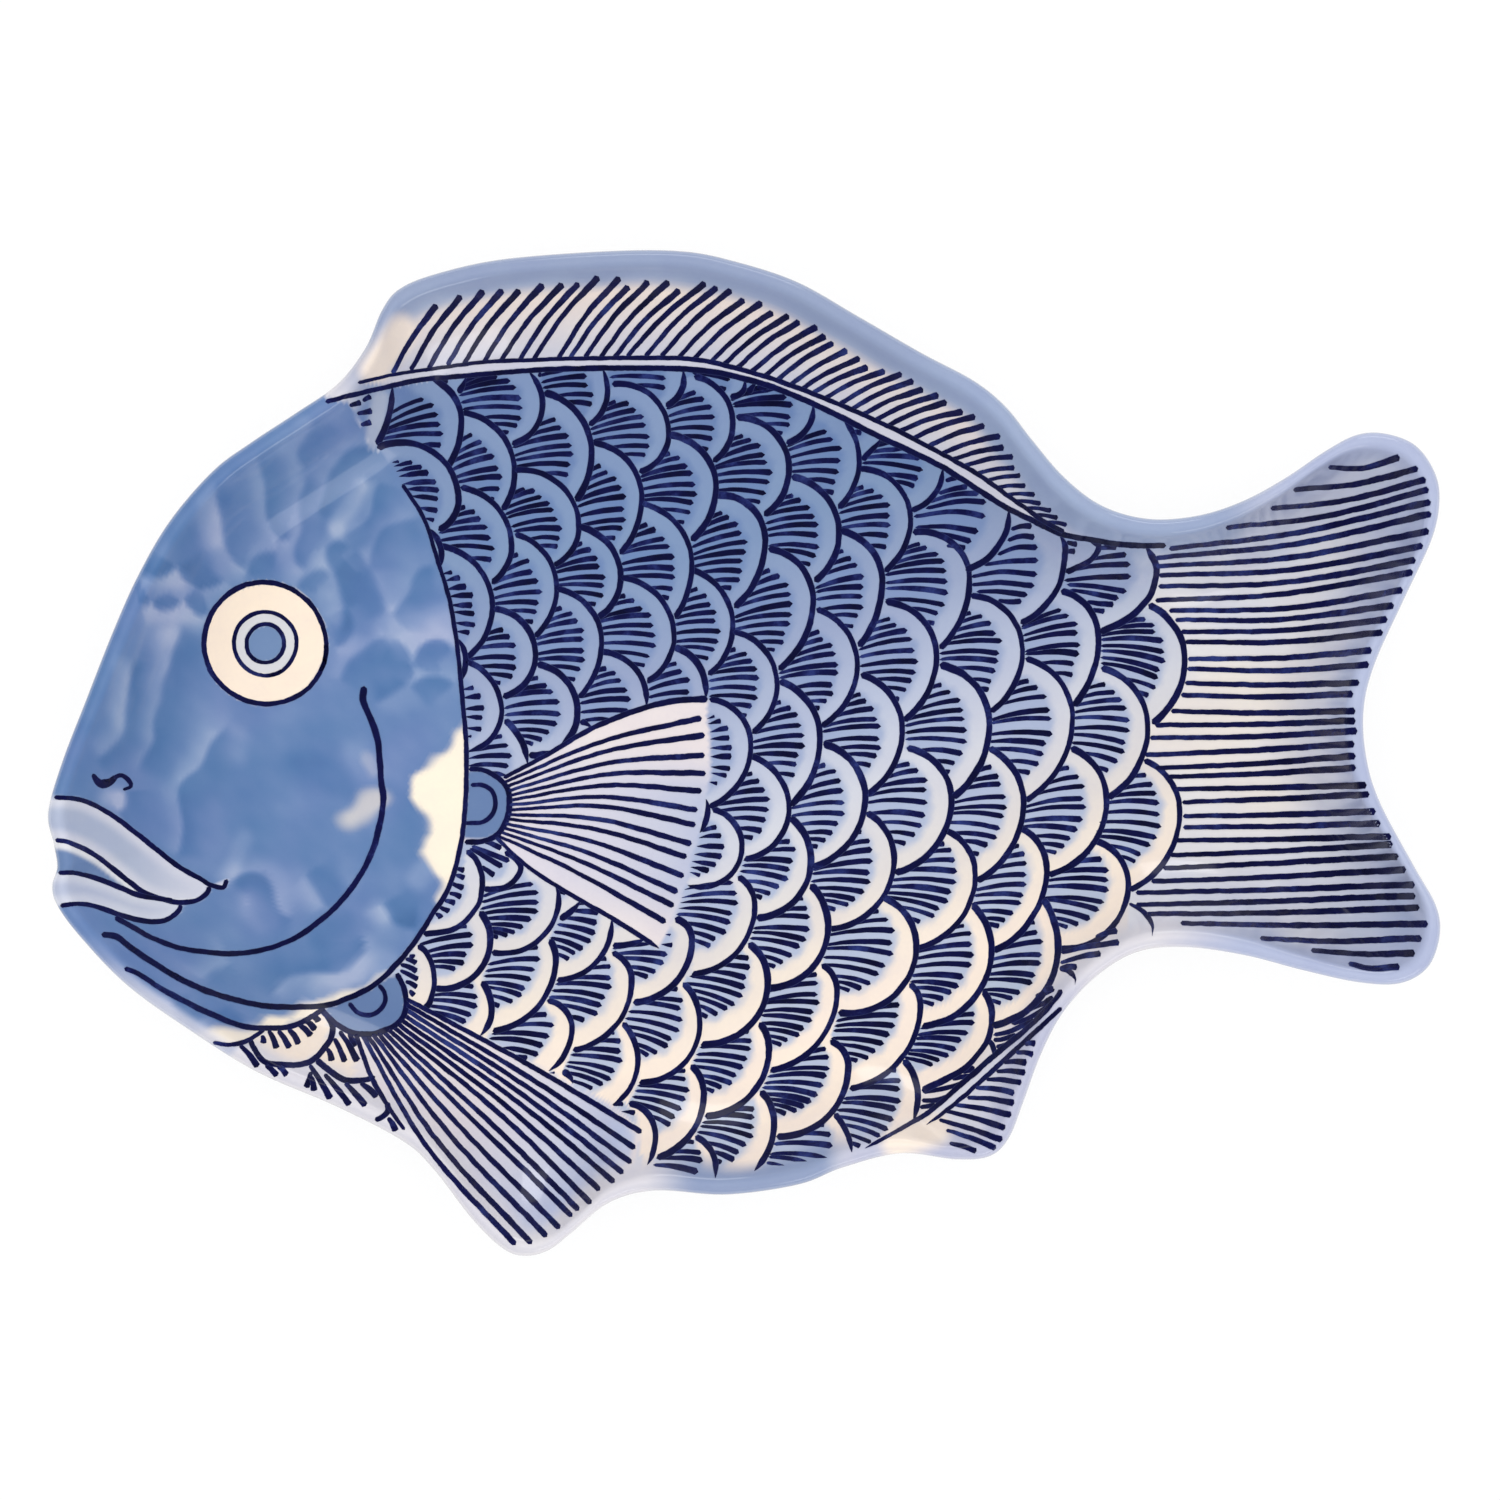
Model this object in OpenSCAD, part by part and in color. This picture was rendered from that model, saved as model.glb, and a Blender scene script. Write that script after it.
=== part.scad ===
// Fish shaped serving platter in glazed ceramic, seen from above.
// The lips point to -X, the tail fin to +X and the back fin to +Y.
// A shallow dish with a rounded lip stands on a foot ring, which is luted under its floor.
// The origin is on the table, in the middle of the dish's length and width.

/* [Dish] */
// Length from the lips to the tips of the tail fin
dish_length = 355; // [280:1:450]
// Width from the top of the back fin to the tip of the belly fin
dish_width = 256.5; // [220:0.5:320]
// Height of the top of the lip above the table
dish_height = 36; // [28:0.5:50]
// Thickness of the fired clay, in the floor, the wall and the lip
clay_t = 5; // [4:0.1:6.5]
// How the wall rises: 1 is a straight slope, and more is flatter at the floor and steeper at the lip
wall_power = 2.2; // [1.6:0.1:3]

/* [Foot ring] */
// Height of the foot ring
foot_h = 6; // [4.5:0.1:8]
// Width of the foot ring where it meets the floor
foot_root_w = 9; // [7:0.1:12]
// Width of the bare face that it stands on
foot_face_w = 5; // [3:0.1:6]
// Bevel along both edges of the bare face
foot_bevel = 0.8; // [0.4:0.1:1.2]
// Radius of the foot ring's wide bend, under the head, to the middle of the ring
foot_head_r = 57; // [40:0.5:62]
// Radius of its narrow bend, towards the tail
foot_tail_r = 34; // [20:0.5:38]
// Distance between the centres of the two bends
foot_span = 100; // [70:0.5:110]
// Place of the wide bend's centre along the dish
foot_x = -58; // [-64:0.5:-50]
// Place of both bends' centres across the dish
foot_y = 2; // [-4:0.5:6]

/* [Hidden] */

// Outer edge of the lip, once round from the upper lip of the mouth, over the back fin, the tail
// fin, the belly fins and the chin. Each point is a share of the length and a share of the width.
rim_shares = [
    [-0.500, -0.059], [-0.490, -0.009], [-0.473, 0.052],   // upper lip and brow
    [-0.454, 0.119], [-0.436, 0.175], [-0.413, 0.230],     // forehead
    [-0.382, 0.280], [-0.354, 0.309], [-0.321, 0.339],     // crown
    [-0.292, 0.367], [-0.272, 0.403], [-0.260, 0.441],     // step up to the back fin
    [-0.247, 0.462], [-0.220, 0.477], [-0.173, 0.491],     // front corner of the back fin
    [-0.098, 0.499], [-0.046, 0.499], [-0.010, 0.490],     // top of the back fin
    [0.037, 0.469], [0.082, 0.434], [0.127, 0.398],        // back fin falling to the tail
    [0.165, 0.370], [0.188, 0.344], [0.207, 0.311],        // rear corner of the back fin
    [0.230, 0.274], [0.257, 0.246], [0.290, 0.233],        // upper side of the tail root
    [0.325, 0.236], [0.357, 0.250], [0.388, 0.273],        // upper tail lobe, near side
    [0.417, 0.300], [0.439, 0.316], [0.459, 0.318],        // upper tail lobe, top
    [0.481, 0.307], [0.495, 0.282], [0.4995, 0.253],       // upper tail lobe, tip
    [0.494, 0.213], [0.474, 0.153], [0.453, 0.089],        // upper side of the fork
    [0.445, 0.043], [0.447, -0.005], [0.457, -0.050],      // bottom of the fork
    [0.481, -0.112], [0.497, -0.152], [0.4995, -0.182],    // lower side of the fork
    [0.491, -0.213], [0.471, -0.229], [0.441, -0.228],     // lower tail lobe, tip
    [0.401, -0.216], [0.359, -0.201], [0.316, -0.193],     // lower tail lobe, near side
    [0.282, -0.198], [0.253, -0.222], [0.229, -0.258],     // lower side of the tail root
    [0.213, -0.300], [0.201, -0.345], [0.190, -0.383],     // anal fin, rear edge
    [0.176, -0.401], [0.152, -0.404], [0.112, -0.398],     // anal fin, tip
    [0.071, -0.412], [0.039, -0.429], [-0.013, -0.439],    // belly
    [-0.064, -0.435], [-0.097, -0.447], [-0.124, -0.477],  // belly fin, rear edge
    [-0.140, -0.494], [-0.157, -0.500], [-0.173, -0.493],  // belly fin, tip
    [-0.195, -0.464], [-0.223, -0.414], [-0.245, -0.386],  // belly fin, front edge
    [-0.292, -0.352], [-0.350, -0.317], [-0.400, -0.274],  // throat
    [-0.444, -0.230], [-0.478, -0.181], [-0.494, -0.150],  // chin
    [-0.497, -0.131], [-0.4935, -0.113], [-0.496, -0.090]  // lower lip and the corner between the lips
];

// Edge of the flat floor, where the wall starts to rise. Each point faces every third point of the rim.
floor_shares = [
    [-0.377, -0.037], [-0.343, 0.073], [-0.295, 0.163],    // behind the lips, up to the crown
    [-0.227, 0.233], [-0.174, 0.290], [-0.097, 0.314],     // below the front of the back fin
    [-0.007, 0.303], [0.091, 0.233], [0.174, 0.163],       // below the back fin, towards the tail
    [0.300, 0.103], [0.388, 0.180], [0.425, 0.203],        // tail root and upper lobe
    [0.402, 0.140], [0.360, 0.038], [0.394, -0.057],       // inside the fork
    [0.416, -0.120], [0.374, -0.102], [0.286, -0.062],     // lower lobe and tail root
    [0.145, -0.147], [0.098, -0.232], [0.040, -0.257],     // inside the anal fin
    [-0.057, -0.267], [-0.111, -0.292], [-0.162, -0.277],  // belly, and inside the belly fin
    [-0.227, -0.207], [-0.339, -0.127], [-0.373, -0.082]   // throat and chin
];

// Samples between two points of the rim, rings across the wall and rings round the lip
rim_steps = 2;
wall_rings = 7;
lip_turns = [0, 30, 60, 90];
rim_per_floor = len(rim_shares) / len(floor_shares);
samples = len(rim_shares) * rim_steps;

half_t = clay_t / 2;
mid_floor_z = foot_h + half_t;
mid_rise = dish_height - clay_t - foot_h;

// A point on a smooth closed curve through a table's points: t counts along the table
function curve_point(table, t) =
    let (n = len(table), k = floor(t), f = t - k,
         a = table[(k + n - 1) % n], b = table[k % n], c = table[(k + 1) % n], d = table[(k + 2) % n])
    (2 * b + (c - a) * f + (2 * a - 5 * b + 4 * c - d) * f ^ 2 + (3 * b - a - 3 * c + d) * f ^ 3) / 2;

function to_size(share) = [share[0] * dish_length, share[1] * dish_width];

// The rim and the floor's edge at each sample, and the wall's run between them
rim = [for (i = [0 : samples - 1]) to_size(curve_point(rim_shares, i / rim_steps))];
floor_edge = [for (i = [0 : samples - 1])
    to_size(curve_point(floor_shares, i / rim_steps / rim_per_floor))];
runs = [for (i = [0 : samples - 1]) norm(floor_edge[i] - rim[i]) - half_t];

// Height and slope of the middle of the wall, at a share u of the way from the lip to the floor
function mid_z(u) = mid_floor_z + mid_rise * (1 - u) ^ wall_power;
function mid_slope(u, run) = atan(mid_rise * wall_power * (1 - u) ^ (wall_power - 1) / run);

// A point of the skin at sample i: half the clay's thickness from the middle of the wall, at an
// angle that turns from straight up (0) outwards over the lip (90) to straight down (180)
function skin_point(i, u, angle) =
    let (way = (floor_edge[i] - rim[i]) / norm(floor_edge[i] - rim[i]),
         s = half_t + runs[i] * u - half_t * sin(angle))
    [rim[i][0] + way[0] * s, rim[i][1] + way[1] * s, mid_z(u) + half_t * cos(angle)];

function inner_ring(u) = [for (i = [0 : samples - 1]) skin_point(i, u, -mid_slope(u, runs[i]))];
function lip_ring(angle) = [for (i = [0 : samples - 1]) skin_point(i, 0, angle)];
function under_lip_ring() = [for (i = [0 : samples - 1]) skin_point(i, 0, 135 - mid_slope(0, runs[i]) / 2)];
function outer_ring(u) = [for (i = [0 : samples - 1]) skin_point(i, u, 180 - mid_slope(u, runs[i]))];

module platter_body() {
    rings = concat(
        [for (k = [0 : wall_rings]) inner_ring(1 - k / wall_rings)],
        [for (turn = lip_turns) lip_ring(turn)],
        [under_lip_ring()],
        [for (k = [0 : wall_rings]) outer_ring(k / wall_rings)]
    );
    last = len(rings) - 1;
    sides = [for (k = [0 : last - 1], i = [0 : samples - 1])
        let (j = (i + 1) % samples, near = k * samples, far = near + samples)
        each [[near + i, near + j, far + j], [near + i, far + j, far + i]]];
    top = [for (i = [samples - 1 : -1 : 0]) i];
    under = [for (i = [0 : samples - 1]) last * samples + i];
    color([0.80, 0.84, 0.93])
        polyhedron([for (ring = rings) each ring], concat(sides, [top, under]), convexity = 6);
}

// Cross-section of the foot ring, about its middle line, with the floor of the dish at its top
module foot_section() {
    polygon([
        [-foot_root_w / 2, foot_h], [foot_root_w / 2, foot_h],
        [foot_face_w / 2 + foot_bevel, foot_bevel], [foot_face_w / 2, 0],
        [-foot_face_w / 2, 0], [-foot_face_w / 2 - foot_bevel, foot_bevel]
    ]);
}

// The foot ring's straight sides touch both bends at this angle from the length of the dish
foot_angle = acos((foot_head_r - foot_tail_r) / foot_span);
foot_side = foot_span * sin(foot_angle);
// How far each straight side runs on into both bends
foot_lap = foot_face_w / 50;

module foot_side_bar() {
    translate([foot_head_r * cos(foot_angle), foot_head_r * sin(foot_angle), 0])
        rotate([90, 0, foot_angle])
            translate([0, 0, -foot_lap])
                linear_extrude(foot_side + 2 * foot_lap) foot_section();
}

module foot_ring() {
    color([0.78, 0.70, 0.58])
        translate([foot_x, foot_y, 0]) {
            rotate([0, 0, foot_angle])
                rotate_extrude(angle = 360 - 2 * foot_angle, $fn = 96)
                    translate([foot_head_r, 0]) foot_section();
            translate([foot_span, 0, 0])
                rotate([0, 0, -foot_angle])
                    rotate_extrude(angle = 2 * foot_angle, $fn = 96)
                        translate([foot_tail_r, 0]) foot_section();
            foot_side_bar();
            mirror([0, 1, 0]) foot_side_bar();
        }
}

platter_body();
foot_ring();
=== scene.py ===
"""Fish shaped platter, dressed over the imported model: glazed dish, cobalt brushwork and bare foot.

The dish repeats the loft of the CAD source with finer rings. Its washes are vertex colours worked
out from formulas on the plan, and every dark brush stroke is a thin closed ribbon lying on the dish.
Strokes are laid out on a drawing grid: units of about 0.256 mm, x to the right, y downwards. A row
of numbers in a table holds the x and y of one place after another.
"""
from __future__ import annotations

import logging
import math
from dataclasses import dataclass, field
from enum import Enum
from functools import partial

import bpy
import numpy as np
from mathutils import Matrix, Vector
from mathutils.geometry import delaunay_2d_cdt

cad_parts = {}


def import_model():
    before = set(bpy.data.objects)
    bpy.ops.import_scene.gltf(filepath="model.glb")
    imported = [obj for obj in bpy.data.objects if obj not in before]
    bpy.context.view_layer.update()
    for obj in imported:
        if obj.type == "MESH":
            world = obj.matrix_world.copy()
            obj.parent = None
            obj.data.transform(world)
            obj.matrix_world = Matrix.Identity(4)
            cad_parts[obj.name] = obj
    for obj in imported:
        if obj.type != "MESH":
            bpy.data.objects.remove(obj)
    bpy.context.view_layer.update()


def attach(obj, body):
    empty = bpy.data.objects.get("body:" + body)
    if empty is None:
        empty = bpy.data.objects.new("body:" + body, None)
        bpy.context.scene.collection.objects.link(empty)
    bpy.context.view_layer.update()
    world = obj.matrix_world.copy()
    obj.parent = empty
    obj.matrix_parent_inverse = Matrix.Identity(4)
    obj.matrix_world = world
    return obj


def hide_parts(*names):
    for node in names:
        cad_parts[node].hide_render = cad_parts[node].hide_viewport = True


log = logging.getLogger("fish_platter")

# Size of the dish, in metres, and of the drawing grid that covers it
DISH_LENGTH = 0.355
DISH_WIDTH = 0.2565
GRID_MIDDLE = np.array((744.25, 753.0))
GRID_UNIT = np.array((DISH_LENGTH / 1384.5, -DISH_WIDTH / 1000.5))
SEED = 7

# Heights, in metres: strokes fall from the first, have missed the dish above the second, and then
# stay on the lip at the third
FALL_FROM = 0.08
MISSED_ABOVE = 0.05
LIP_TOP = 0.0355
LOWER_LAYER = 10**8  # added to a ribbon's point to mean the one below it

Row = tuple[float, ...]


class Slot(Enum):
    """Finishes given to register along with each piece."""

    GLAZE = "blue_white_glaze"
    CLAY = "foot_clay"


def places(row: Row | np.ndarray) -> np.ndarray:
    """Turn a row of x, y, x, y and so on into places; ready places stay as they are."""
    return np.asarray(row, float).reshape(-1, 2)


def lines_of(row: Row) -> np.ndarray:
    """Turn a row into straight lines of two places each."""
    return places(row).reshape(-1, 2, 2)


def to_metres(points: np.ndarray) -> np.ndarray:
    """Turn places on the drawing grid into metres on the plan."""
    return (np.asarray(points, float) - GRID_MIDDLE) * GRID_UNIT


def to_grid(points: np.ndarray) -> np.ndarray:
    """Turn metres on the plan into places on the drawing grid."""
    return np.asarray(points, float) / GRID_UNIT + GRID_MIDDLE


def linear(code: str) -> np.ndarray:
    """Turn a six digit hex colour into linear red, green and blue."""
    value = np.array([int(code[i:i + 2], 16) / 255 for i in (0, 2, 4)])
    return np.where(value <= 0.04045, value / 12.92, ((value + 0.055) / 1.055) ** 2.4)


def smooth_step(low: float, high: float, value: np.ndarray) -> np.ndarray:
    """Rise from 0 at low to 1 at high with level ends; high may be below low."""
    t = np.clip((value - low) / (high - low), 0, 1)
    return t * t * (3 - 2 * t)


def ramp(value: np.ndarray, stops: tuple[tuple[float, str], ...]) -> np.ndarray:
    """Blend colours evenly between stops.

    Args:
        value: where on the ramp, for each place.
        stops: place and hex colour of each stop.

    Returns:
        Linear colour at each place.
    """
    at = [place for place, _ in stops]
    colours = np.array([linear(code) for _, code in stops])
    return np.stack([np.interp(value, at, colours[:, c]) for c in range(3)], axis=-1)


def over(colour: np.ndarray, paint: np.ndarray, cover: np.ndarray) -> np.ndarray:
    """Lay paint over a colour where cover is 1, and leave the colour where it is 0.

    Args:
        colour: linear colour at each place, or one for all.
        paint: the same of the paint.
        cover: share of the paint at each place.

    Returns:
        Linear colour at each place.
    """
    return colour + (paint - colour) * cover[:, None]


def curve_through(points: np.ndarray, closed: bool = False, steps: int = 10) -> np.ndarray:
    """Follow a smooth curve through points.

    Each span is the cubic (2b + (c-a)f + (2a-5b+4c-d)f^2 + (3b-a-3c+d)f^3)/2 of its two ends b, c
    and of their neighbours a, d, with f from 0 to 1 along the span.

    Args:
        points: places to pass through, in order.
        closed: whether the curve comes back to its first point.
        steps: samples on each span.

    Returns:
        Sampled places on the curve.
    """
    p = places(points)
    if closed:
        ring = np.vstack((p[-1], p, p[:2]))
    else:
        ring = np.vstack((2 * p[0] - p[1], p, 2 * p[-1] - p[-2]))
    a, b, c, d = (ring[i:len(ring) - 3 + i, None] for i in range(4))
    f = (np.arange(steps) / steps)[None, :, None]
    spans = (2 * b + (c - a) * f + (2 * a - 5 * b + 4 * c - d) * f**2
             + (3 * b - a - 3 * c + d) * f**3) / 2
    path = spans.reshape(-1, 2)
    return path if closed else np.vstack((path, p[-1]))


def bezier(start: np.ndarray, leave: np.ndarray, arrive: np.ndarray, end: np.ndarray,
           count: int = 24) -> np.ndarray:
    """Sample a cubic curve from start to end with the handles leave and arrive."""
    t = np.linspace(0, 1, count)[:, None]
    return ((1 - t)**3 * start + 3 * t * (1 - t)**2 * leave + 3 * t**2 * (1 - t) * arrive
            + t**3 * end)


def along(path: np.ndarray, shares: np.ndarray) -> np.ndarray:
    """Places at shares, from 0 to 1, of a path's length."""
    run = np.concatenate(([0], np.cumsum(np.linalg.norm(np.diff(path, axis=0), axis=1))))
    return np.stack([np.interp(shares * run[-1], run, path[:, c]) for c in range(2)], axis=-1)


def arc(start: np.ndarray, end: np.ndarray, first: bool) -> np.ndarray:
    """Sample an even arc that runs straight down at one end.

    Args:
        start: where it starts.
        end: where it ends.
        first: whether it runs down at its start, or else at its end.

    Returns:
        Places on the arc.
    """
    way = end - start
    reach = np.linalg.norm(way)
    down = np.array((0.0, 1.0))
    lean = max(way[1] / reach, -0.1)
    other = 2 * (way @ down) * way / reach**2 - down
    handle = reach * 2 / (3 * (1 + lean))
    leave, arrive = (down, other) if first else (other, down)
    return bezier(start, start + leave * handle, end - arrive * handle, end)


def turned(vector: np.ndarray, degrees: float) -> np.ndarray:
    """Turn a vector of the drawing grid clockwise as it is seen."""
    c, s = math.cos(math.radians(degrees)), math.sin(math.radians(degrees))
    return np.array((vector[0] * c - vector[1] * s, vector[0] * s + vector[1] * c))


def inside(points: np.ndarray, corners: np.ndarray) -> np.ndarray:
    """Tell which points lie in a closed outline, by counting the edges to one side of each.

    Args:
        points: the places.
        corners: the outline.

    Returns:
        Whether each place lies inside.
    """
    corners = places(corners)
    hit = np.zeros(len(points), bool)
    low, high = corners.min(0), corners.max(0)
    near = np.flatnonzero(np.all((points >= low) & (points <= high), axis=1))
    if not len(near):
        return hit
    x, y = points[near, 0][:, None], points[near, 1][:, None]
    x0, y0 = corners[:, 0], corners[:, 1]
    x1, y1 = np.roll(x0, -1), np.roll(y0, -1)
    rise = np.where(y1 == y0, 1e-9, y1 - y0)
    crossed = ((y0 > y) != (y1 > y)) & (x < (x1 - x0) * (y - y0) / rise + x0)
    hit[near] = crossed.sum(1) % 2 == 1
    return hit


def distance(points: np.ndarray, path: np.ndarray, closed: bool = False) -> np.ndarray:
    """Measure from each point to the nearest place of a path of straight pieces.

    Args:
        points: the places.
        path: corners of the path.
        closed: whether its last corner is joined to its first one.

    Returns:
        Distance of each place.
    """
    start = path if closed else path[:-1]
    way = (np.roll(path, -1, axis=0) if closed else path[1:]) - start
    length = np.maximum((way**2).sum(1), 1e-9)
    best = np.empty(len(points))
    for first in range(0, len(points), 20000):
        part = points[first:first + 20000, None] - start[None]
        share = np.clip((part * way).sum(2) / length, 0, 1)
        best[first:first + 20000] = np.sqrt(
            ((part - share[..., None] * way)**2).sum(2).min(1))
    return best


def depth_in(points: np.ndarray, corners: np.ndarray) -> np.ndarray:
    """Distance inside a closed outline, below 0 outside it."""
    far = distance(points, places(corners), closed=True)
    return np.where(inside(points, corners), far, -far)


def beside(points: np.ndarray, path: np.ndarray) -> tuple[np.ndarray, np.ndarray]:
    """Measure from each point to a path, with the side that the point lies on.

    Args:
        points: the places.
        path: corners of the path.

    Returns:
        Distance of each place, below 0 on the left as the path is drawn, and the share of the
        path passed there.
    """
    start, way = path[:-1], np.diff(path, axis=0)
    part = points[:, None] - start[None]
    share = np.clip((part * way).sum(2) / np.maximum((way**2).sum(1), 1e-9), 0, 1)
    gap = part - share[..., None] * way
    far = np.sqrt((gap**2).sum(2))
    best = far.argmin(1)
    row = np.arange(len(points))
    side = np.sign(way[best, 0] * gap[row, best, 1] - way[best, 1] * gap[row, best, 0])
    return side * far[row, best], (best + share[row, best]) / len(way)


def meet(point: np.ndarray, way: np.ndarray, path: np.ndarray) -> np.ndarray | None:
    """Find where a straight line first crosses a path.

    Args:
        point: start of the line.
        way: its direction.
        path: corners of the path.

    Returns:
        The place, or None where they don't cross.
    """
    start, step = path[:-1], np.diff(path, axis=0)
    gap = start - point
    turn = way[0] * step[:, 1] - way[1] * step[:, 0]
    turn = np.where(np.abs(turn) < 1e-9, 1e-9, turn)
    reach = (gap[:, 0] * step[:, 1] - gap[:, 1] * step[:, 0]) / turn
    share = (gap[:, 0] * way[1] - gap[:, 1] * way[0]) / turn
    good = (reach > 0) & (share >= 0) & (share <= 1)
    return point + way * reach[good].min() if good.any() else None


def ripple(points: np.ndarray, size: float, seed: int) -> np.ndarray:
    """Make a soft uneven field of six crossed sine waves.

    Args:
        points: the places.
        size: about the length of a wave, in units of the places.
        seed: which field.

    Returns:
        Value at each place, between about -1 and 1.
    """
    draw = np.random.default_rng(seed)
    turn = draw.uniform(0, 2 * math.pi, 6)
    wave = 2 * math.pi / (size * draw.uniform(0.7, 1.5, 6))
    phase = draw.uniform(0, 2 * math.pi, 6)
    reach = points @ np.stack((np.cos(turn) * wave, np.sin(turn) * wave))
    return np.sin(reach + phase).sum(-1) / 3


class Shade:
    """Wraps a shader socket, so that maths on it reads as an expression."""

    def __init__(self, maker: NodeMaker, socket: bpy.types.NodeSocket) -> None:
        """Keep the maker that adds nodes, and the socket."""
        self.maker = maker
        self.socket = socket

    def _math(self, operation: str, *terms: object) -> Shade:
        """Add a Math node for an operation on the terms."""
        return self.maker.node("ShaderNodeMath", {"operation": operation},
                               dict(enumerate(terms)))["Value"]

    def __add__(self, other: object) -> Shade:
        """Sum."""
        return self._math("ADD", self, other)

    def __sub__(self, other: object) -> Shade:
        """Difference."""
        return self._math("SUBTRACT", self, other)

    def __rsub__(self, other: object) -> Shade:
        """Difference from a number."""
        return self._math("SUBTRACT", other, self)

    def __mul__(self, other: object) -> Shade:
        """Product."""
        return self._math("MULTIPLY", self, other)

    def clamp(self, low: float, high: float) -> Shade:
        """Hold between two values."""
        return self._math("MINIMUM", self._math("MAXIMUM", self, low), high)


class NodeMaker:
    """Adds nodes to one tree."""

    def __init__(self, owner: bpy.types.ID) -> None:
        """Start an empty node tree on a material or world."""
        owner.use_nodes = True
        self.tree = owner.node_tree
        self.tree.nodes.clear()

    def node(self, kind: str, settings: dict | None = None,
             inputs: dict | None = None) -> dict[str, Shade]:
        """Add a node.

        Args:
            kind: the node's type.
            settings: properties set first; "stops" holds a ramp's places and colours.
            inputs: value, or wrapped socket, of each input by name or number.

        Returns:
            The node's outputs by name.
        """
        node = self.tree.nodes.new(kind)
        for key, value in (settings or {}).items():
            if key == "stops":
                ramp_of = node.color_ramp
                while len(ramp_of.elements) < len(value):
                    ramp_of.elements.new(1)
                for element, (place, colour) in zip(ramp_of.elements, value):
                    element.position, element.color = place, (*colour, 1)
            else:
                setattr(node, key, value)
        for key, value in (inputs or {}).items():
            if isinstance(value, Shade):
                self.tree.links.new(value.socket, node.inputs[key])
            else:
                node.inputs[key].default_value = value
        return {out.name: Shade(self, out) for out in node.outputs if out.enabled}

    def blend(self, share: object, first: object, second: object, mode: str = "MIX") -> Shade:
        """Blend two colours: a Mix node takes them at 6 and 7, and gives its colour at 2."""
        node = self.tree.nodes.new("ShaderNodeMix")
        node.data_type, node.blend_type = "RGBA", mode
        for index, value in ((0, share), (6, first), (7, second)):
            if isinstance(value, Shade):
                self.tree.links.new(value.socket, node.inputs[index])
            else:
                node.inputs[index].default_value = value if index == 0 else (*value, 1)
        return Shade(self, node.outputs[2])

    def noise(self, scale: float, detail: float) -> Shade:
        """Noise on Object coordinates, with cells about 1/scale metres wide."""
        place = self.node("ShaderNodeTexCoord")["Object"]
        found = self.node("ShaderNodeTexNoise", inputs={
            "Vector": place, "Scale": scale, "Detail": detail, "Roughness": 0.55})
        return found.get("Fac") or found["Factor"]


class MaterialMaker(NodeMaker):
    """Builds the nodes of one material."""

    def __init__(self, name: str) -> None:
        """Start a material with an empty tree."""
        self.material = bpy.data.materials.new(name)
        super().__init__(self.material)

    def finish(self, **inputs: object) -> bpy.types.Material:
        """Add the surface shader with its inputs (underscores stand for spaces) and the output."""
        names = {key.replace("_", " "): value for key, value in inputs.items()}
        surface = self.node("ShaderNodeBsdfPrincipled", inputs=names)["BSDF"]
        self.node("ShaderNodeOutputMaterial", inputs={"Surface": surface})
        return self.material


@dataclass(frozen=True)
class GlazeFinish:
    """Clear glaze over washed cobalt: the wash colours are the mesh's own."""

    name: str = "washed_glaze"
    roughness: float = 0.24
    coat: float = 1.0
    coat_roughness: float = 0.07
    mottle: float = 0.10
    wave_height: float = 0.00005

    def material(self) -> bpy.types.Material:
        """Wash colour with brush mottling and fine specks, and a slightly wavy gloss."""
        maker = MaterialMaker(self.name)
        wash = maker.node("ShaderNodeAttribute", {"attribute_name": "wash"})["Color"]
        cloud = maker.noise(70, 4)
        grain = maker.noise(900, 2)
        tone = (cloud - 0.5) * self.mottle * 2 + (grain - 0.5) * 0.05 + 1
        grey = maker.node("ShaderNodeCombineColor", inputs={0: tone, 1: tone, 2: tone * 0.4 + 0.6})
        colour = maker.blend(1.0, wash, grey["Color"], "MULTIPLY")
        wave = maker.noise(60, 1)
        bump = maker.node("ShaderNodeBump", inputs={
            "Height": wave, "Strength": 1.0, "Distance": self.wave_height})["Normal"]
        return maker.finish(
            Base_Color=colour, Roughness=(cloud - 0.5) * 0.08 + self.roughness,
            Coat_Weight=self.coat, Coat_Roughness=self.coat_roughness, Normal=bump)


@dataclass(frozen=True)
class CobaltFinish:
    """Cobalt brush line under the glaze: "load" says how full the brush was, "edge" how far out."""

    name: str = "cobalt_line"
    thin: str = "35458c"
    full: str = "0d1045"
    pooled: str = "080a2c"
    halo: str = "5a6ba8"
    roughness: float = 0.24
    specular: float = 0.15
    coat: float = 0.35
    coat_roughness: float = 0.07

    def material(self) -> bpy.types.Material:
        """Blue that deepens with the load, clouded along the stroke and thinner at its edge."""
        maker = MaterialMaker(self.name)
        load = maker.node("ShaderNodeAttribute", {"attribute_name": "load"})["Fac"]
        edge = maker.node("ShaderNodeAttribute", {"attribute_name": "edge"})["Fac"]
        cloud = maker.noise(260, 4)
        fine = maker.noise(1500, 3)
        depth = (load + (cloud - 0.5) * 0.9 + (fine - 0.5) * 0.35).clamp(0, 1)
        tone = maker.node("ShaderNodeValToRGB", {"stops": (
            (0.0, linear(self.thin)), (0.55, linear(self.full)), (1.0, linear(self.pooled)))},
            {"Fac": depth})["Color"]
        soft = ((edge - 0.82) * 5.5).clamp(0, 1) * 0.35
        colour = maker.blend(soft, tone, tuple(linear(self.halo)))
        return maker.finish(
            Base_Color=colour, Roughness=self.roughness, Specular_IOR_Level=self.specular,
            Coat_Weight=self.coat, Coat_Roughness=self.coat_roughness)


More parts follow.
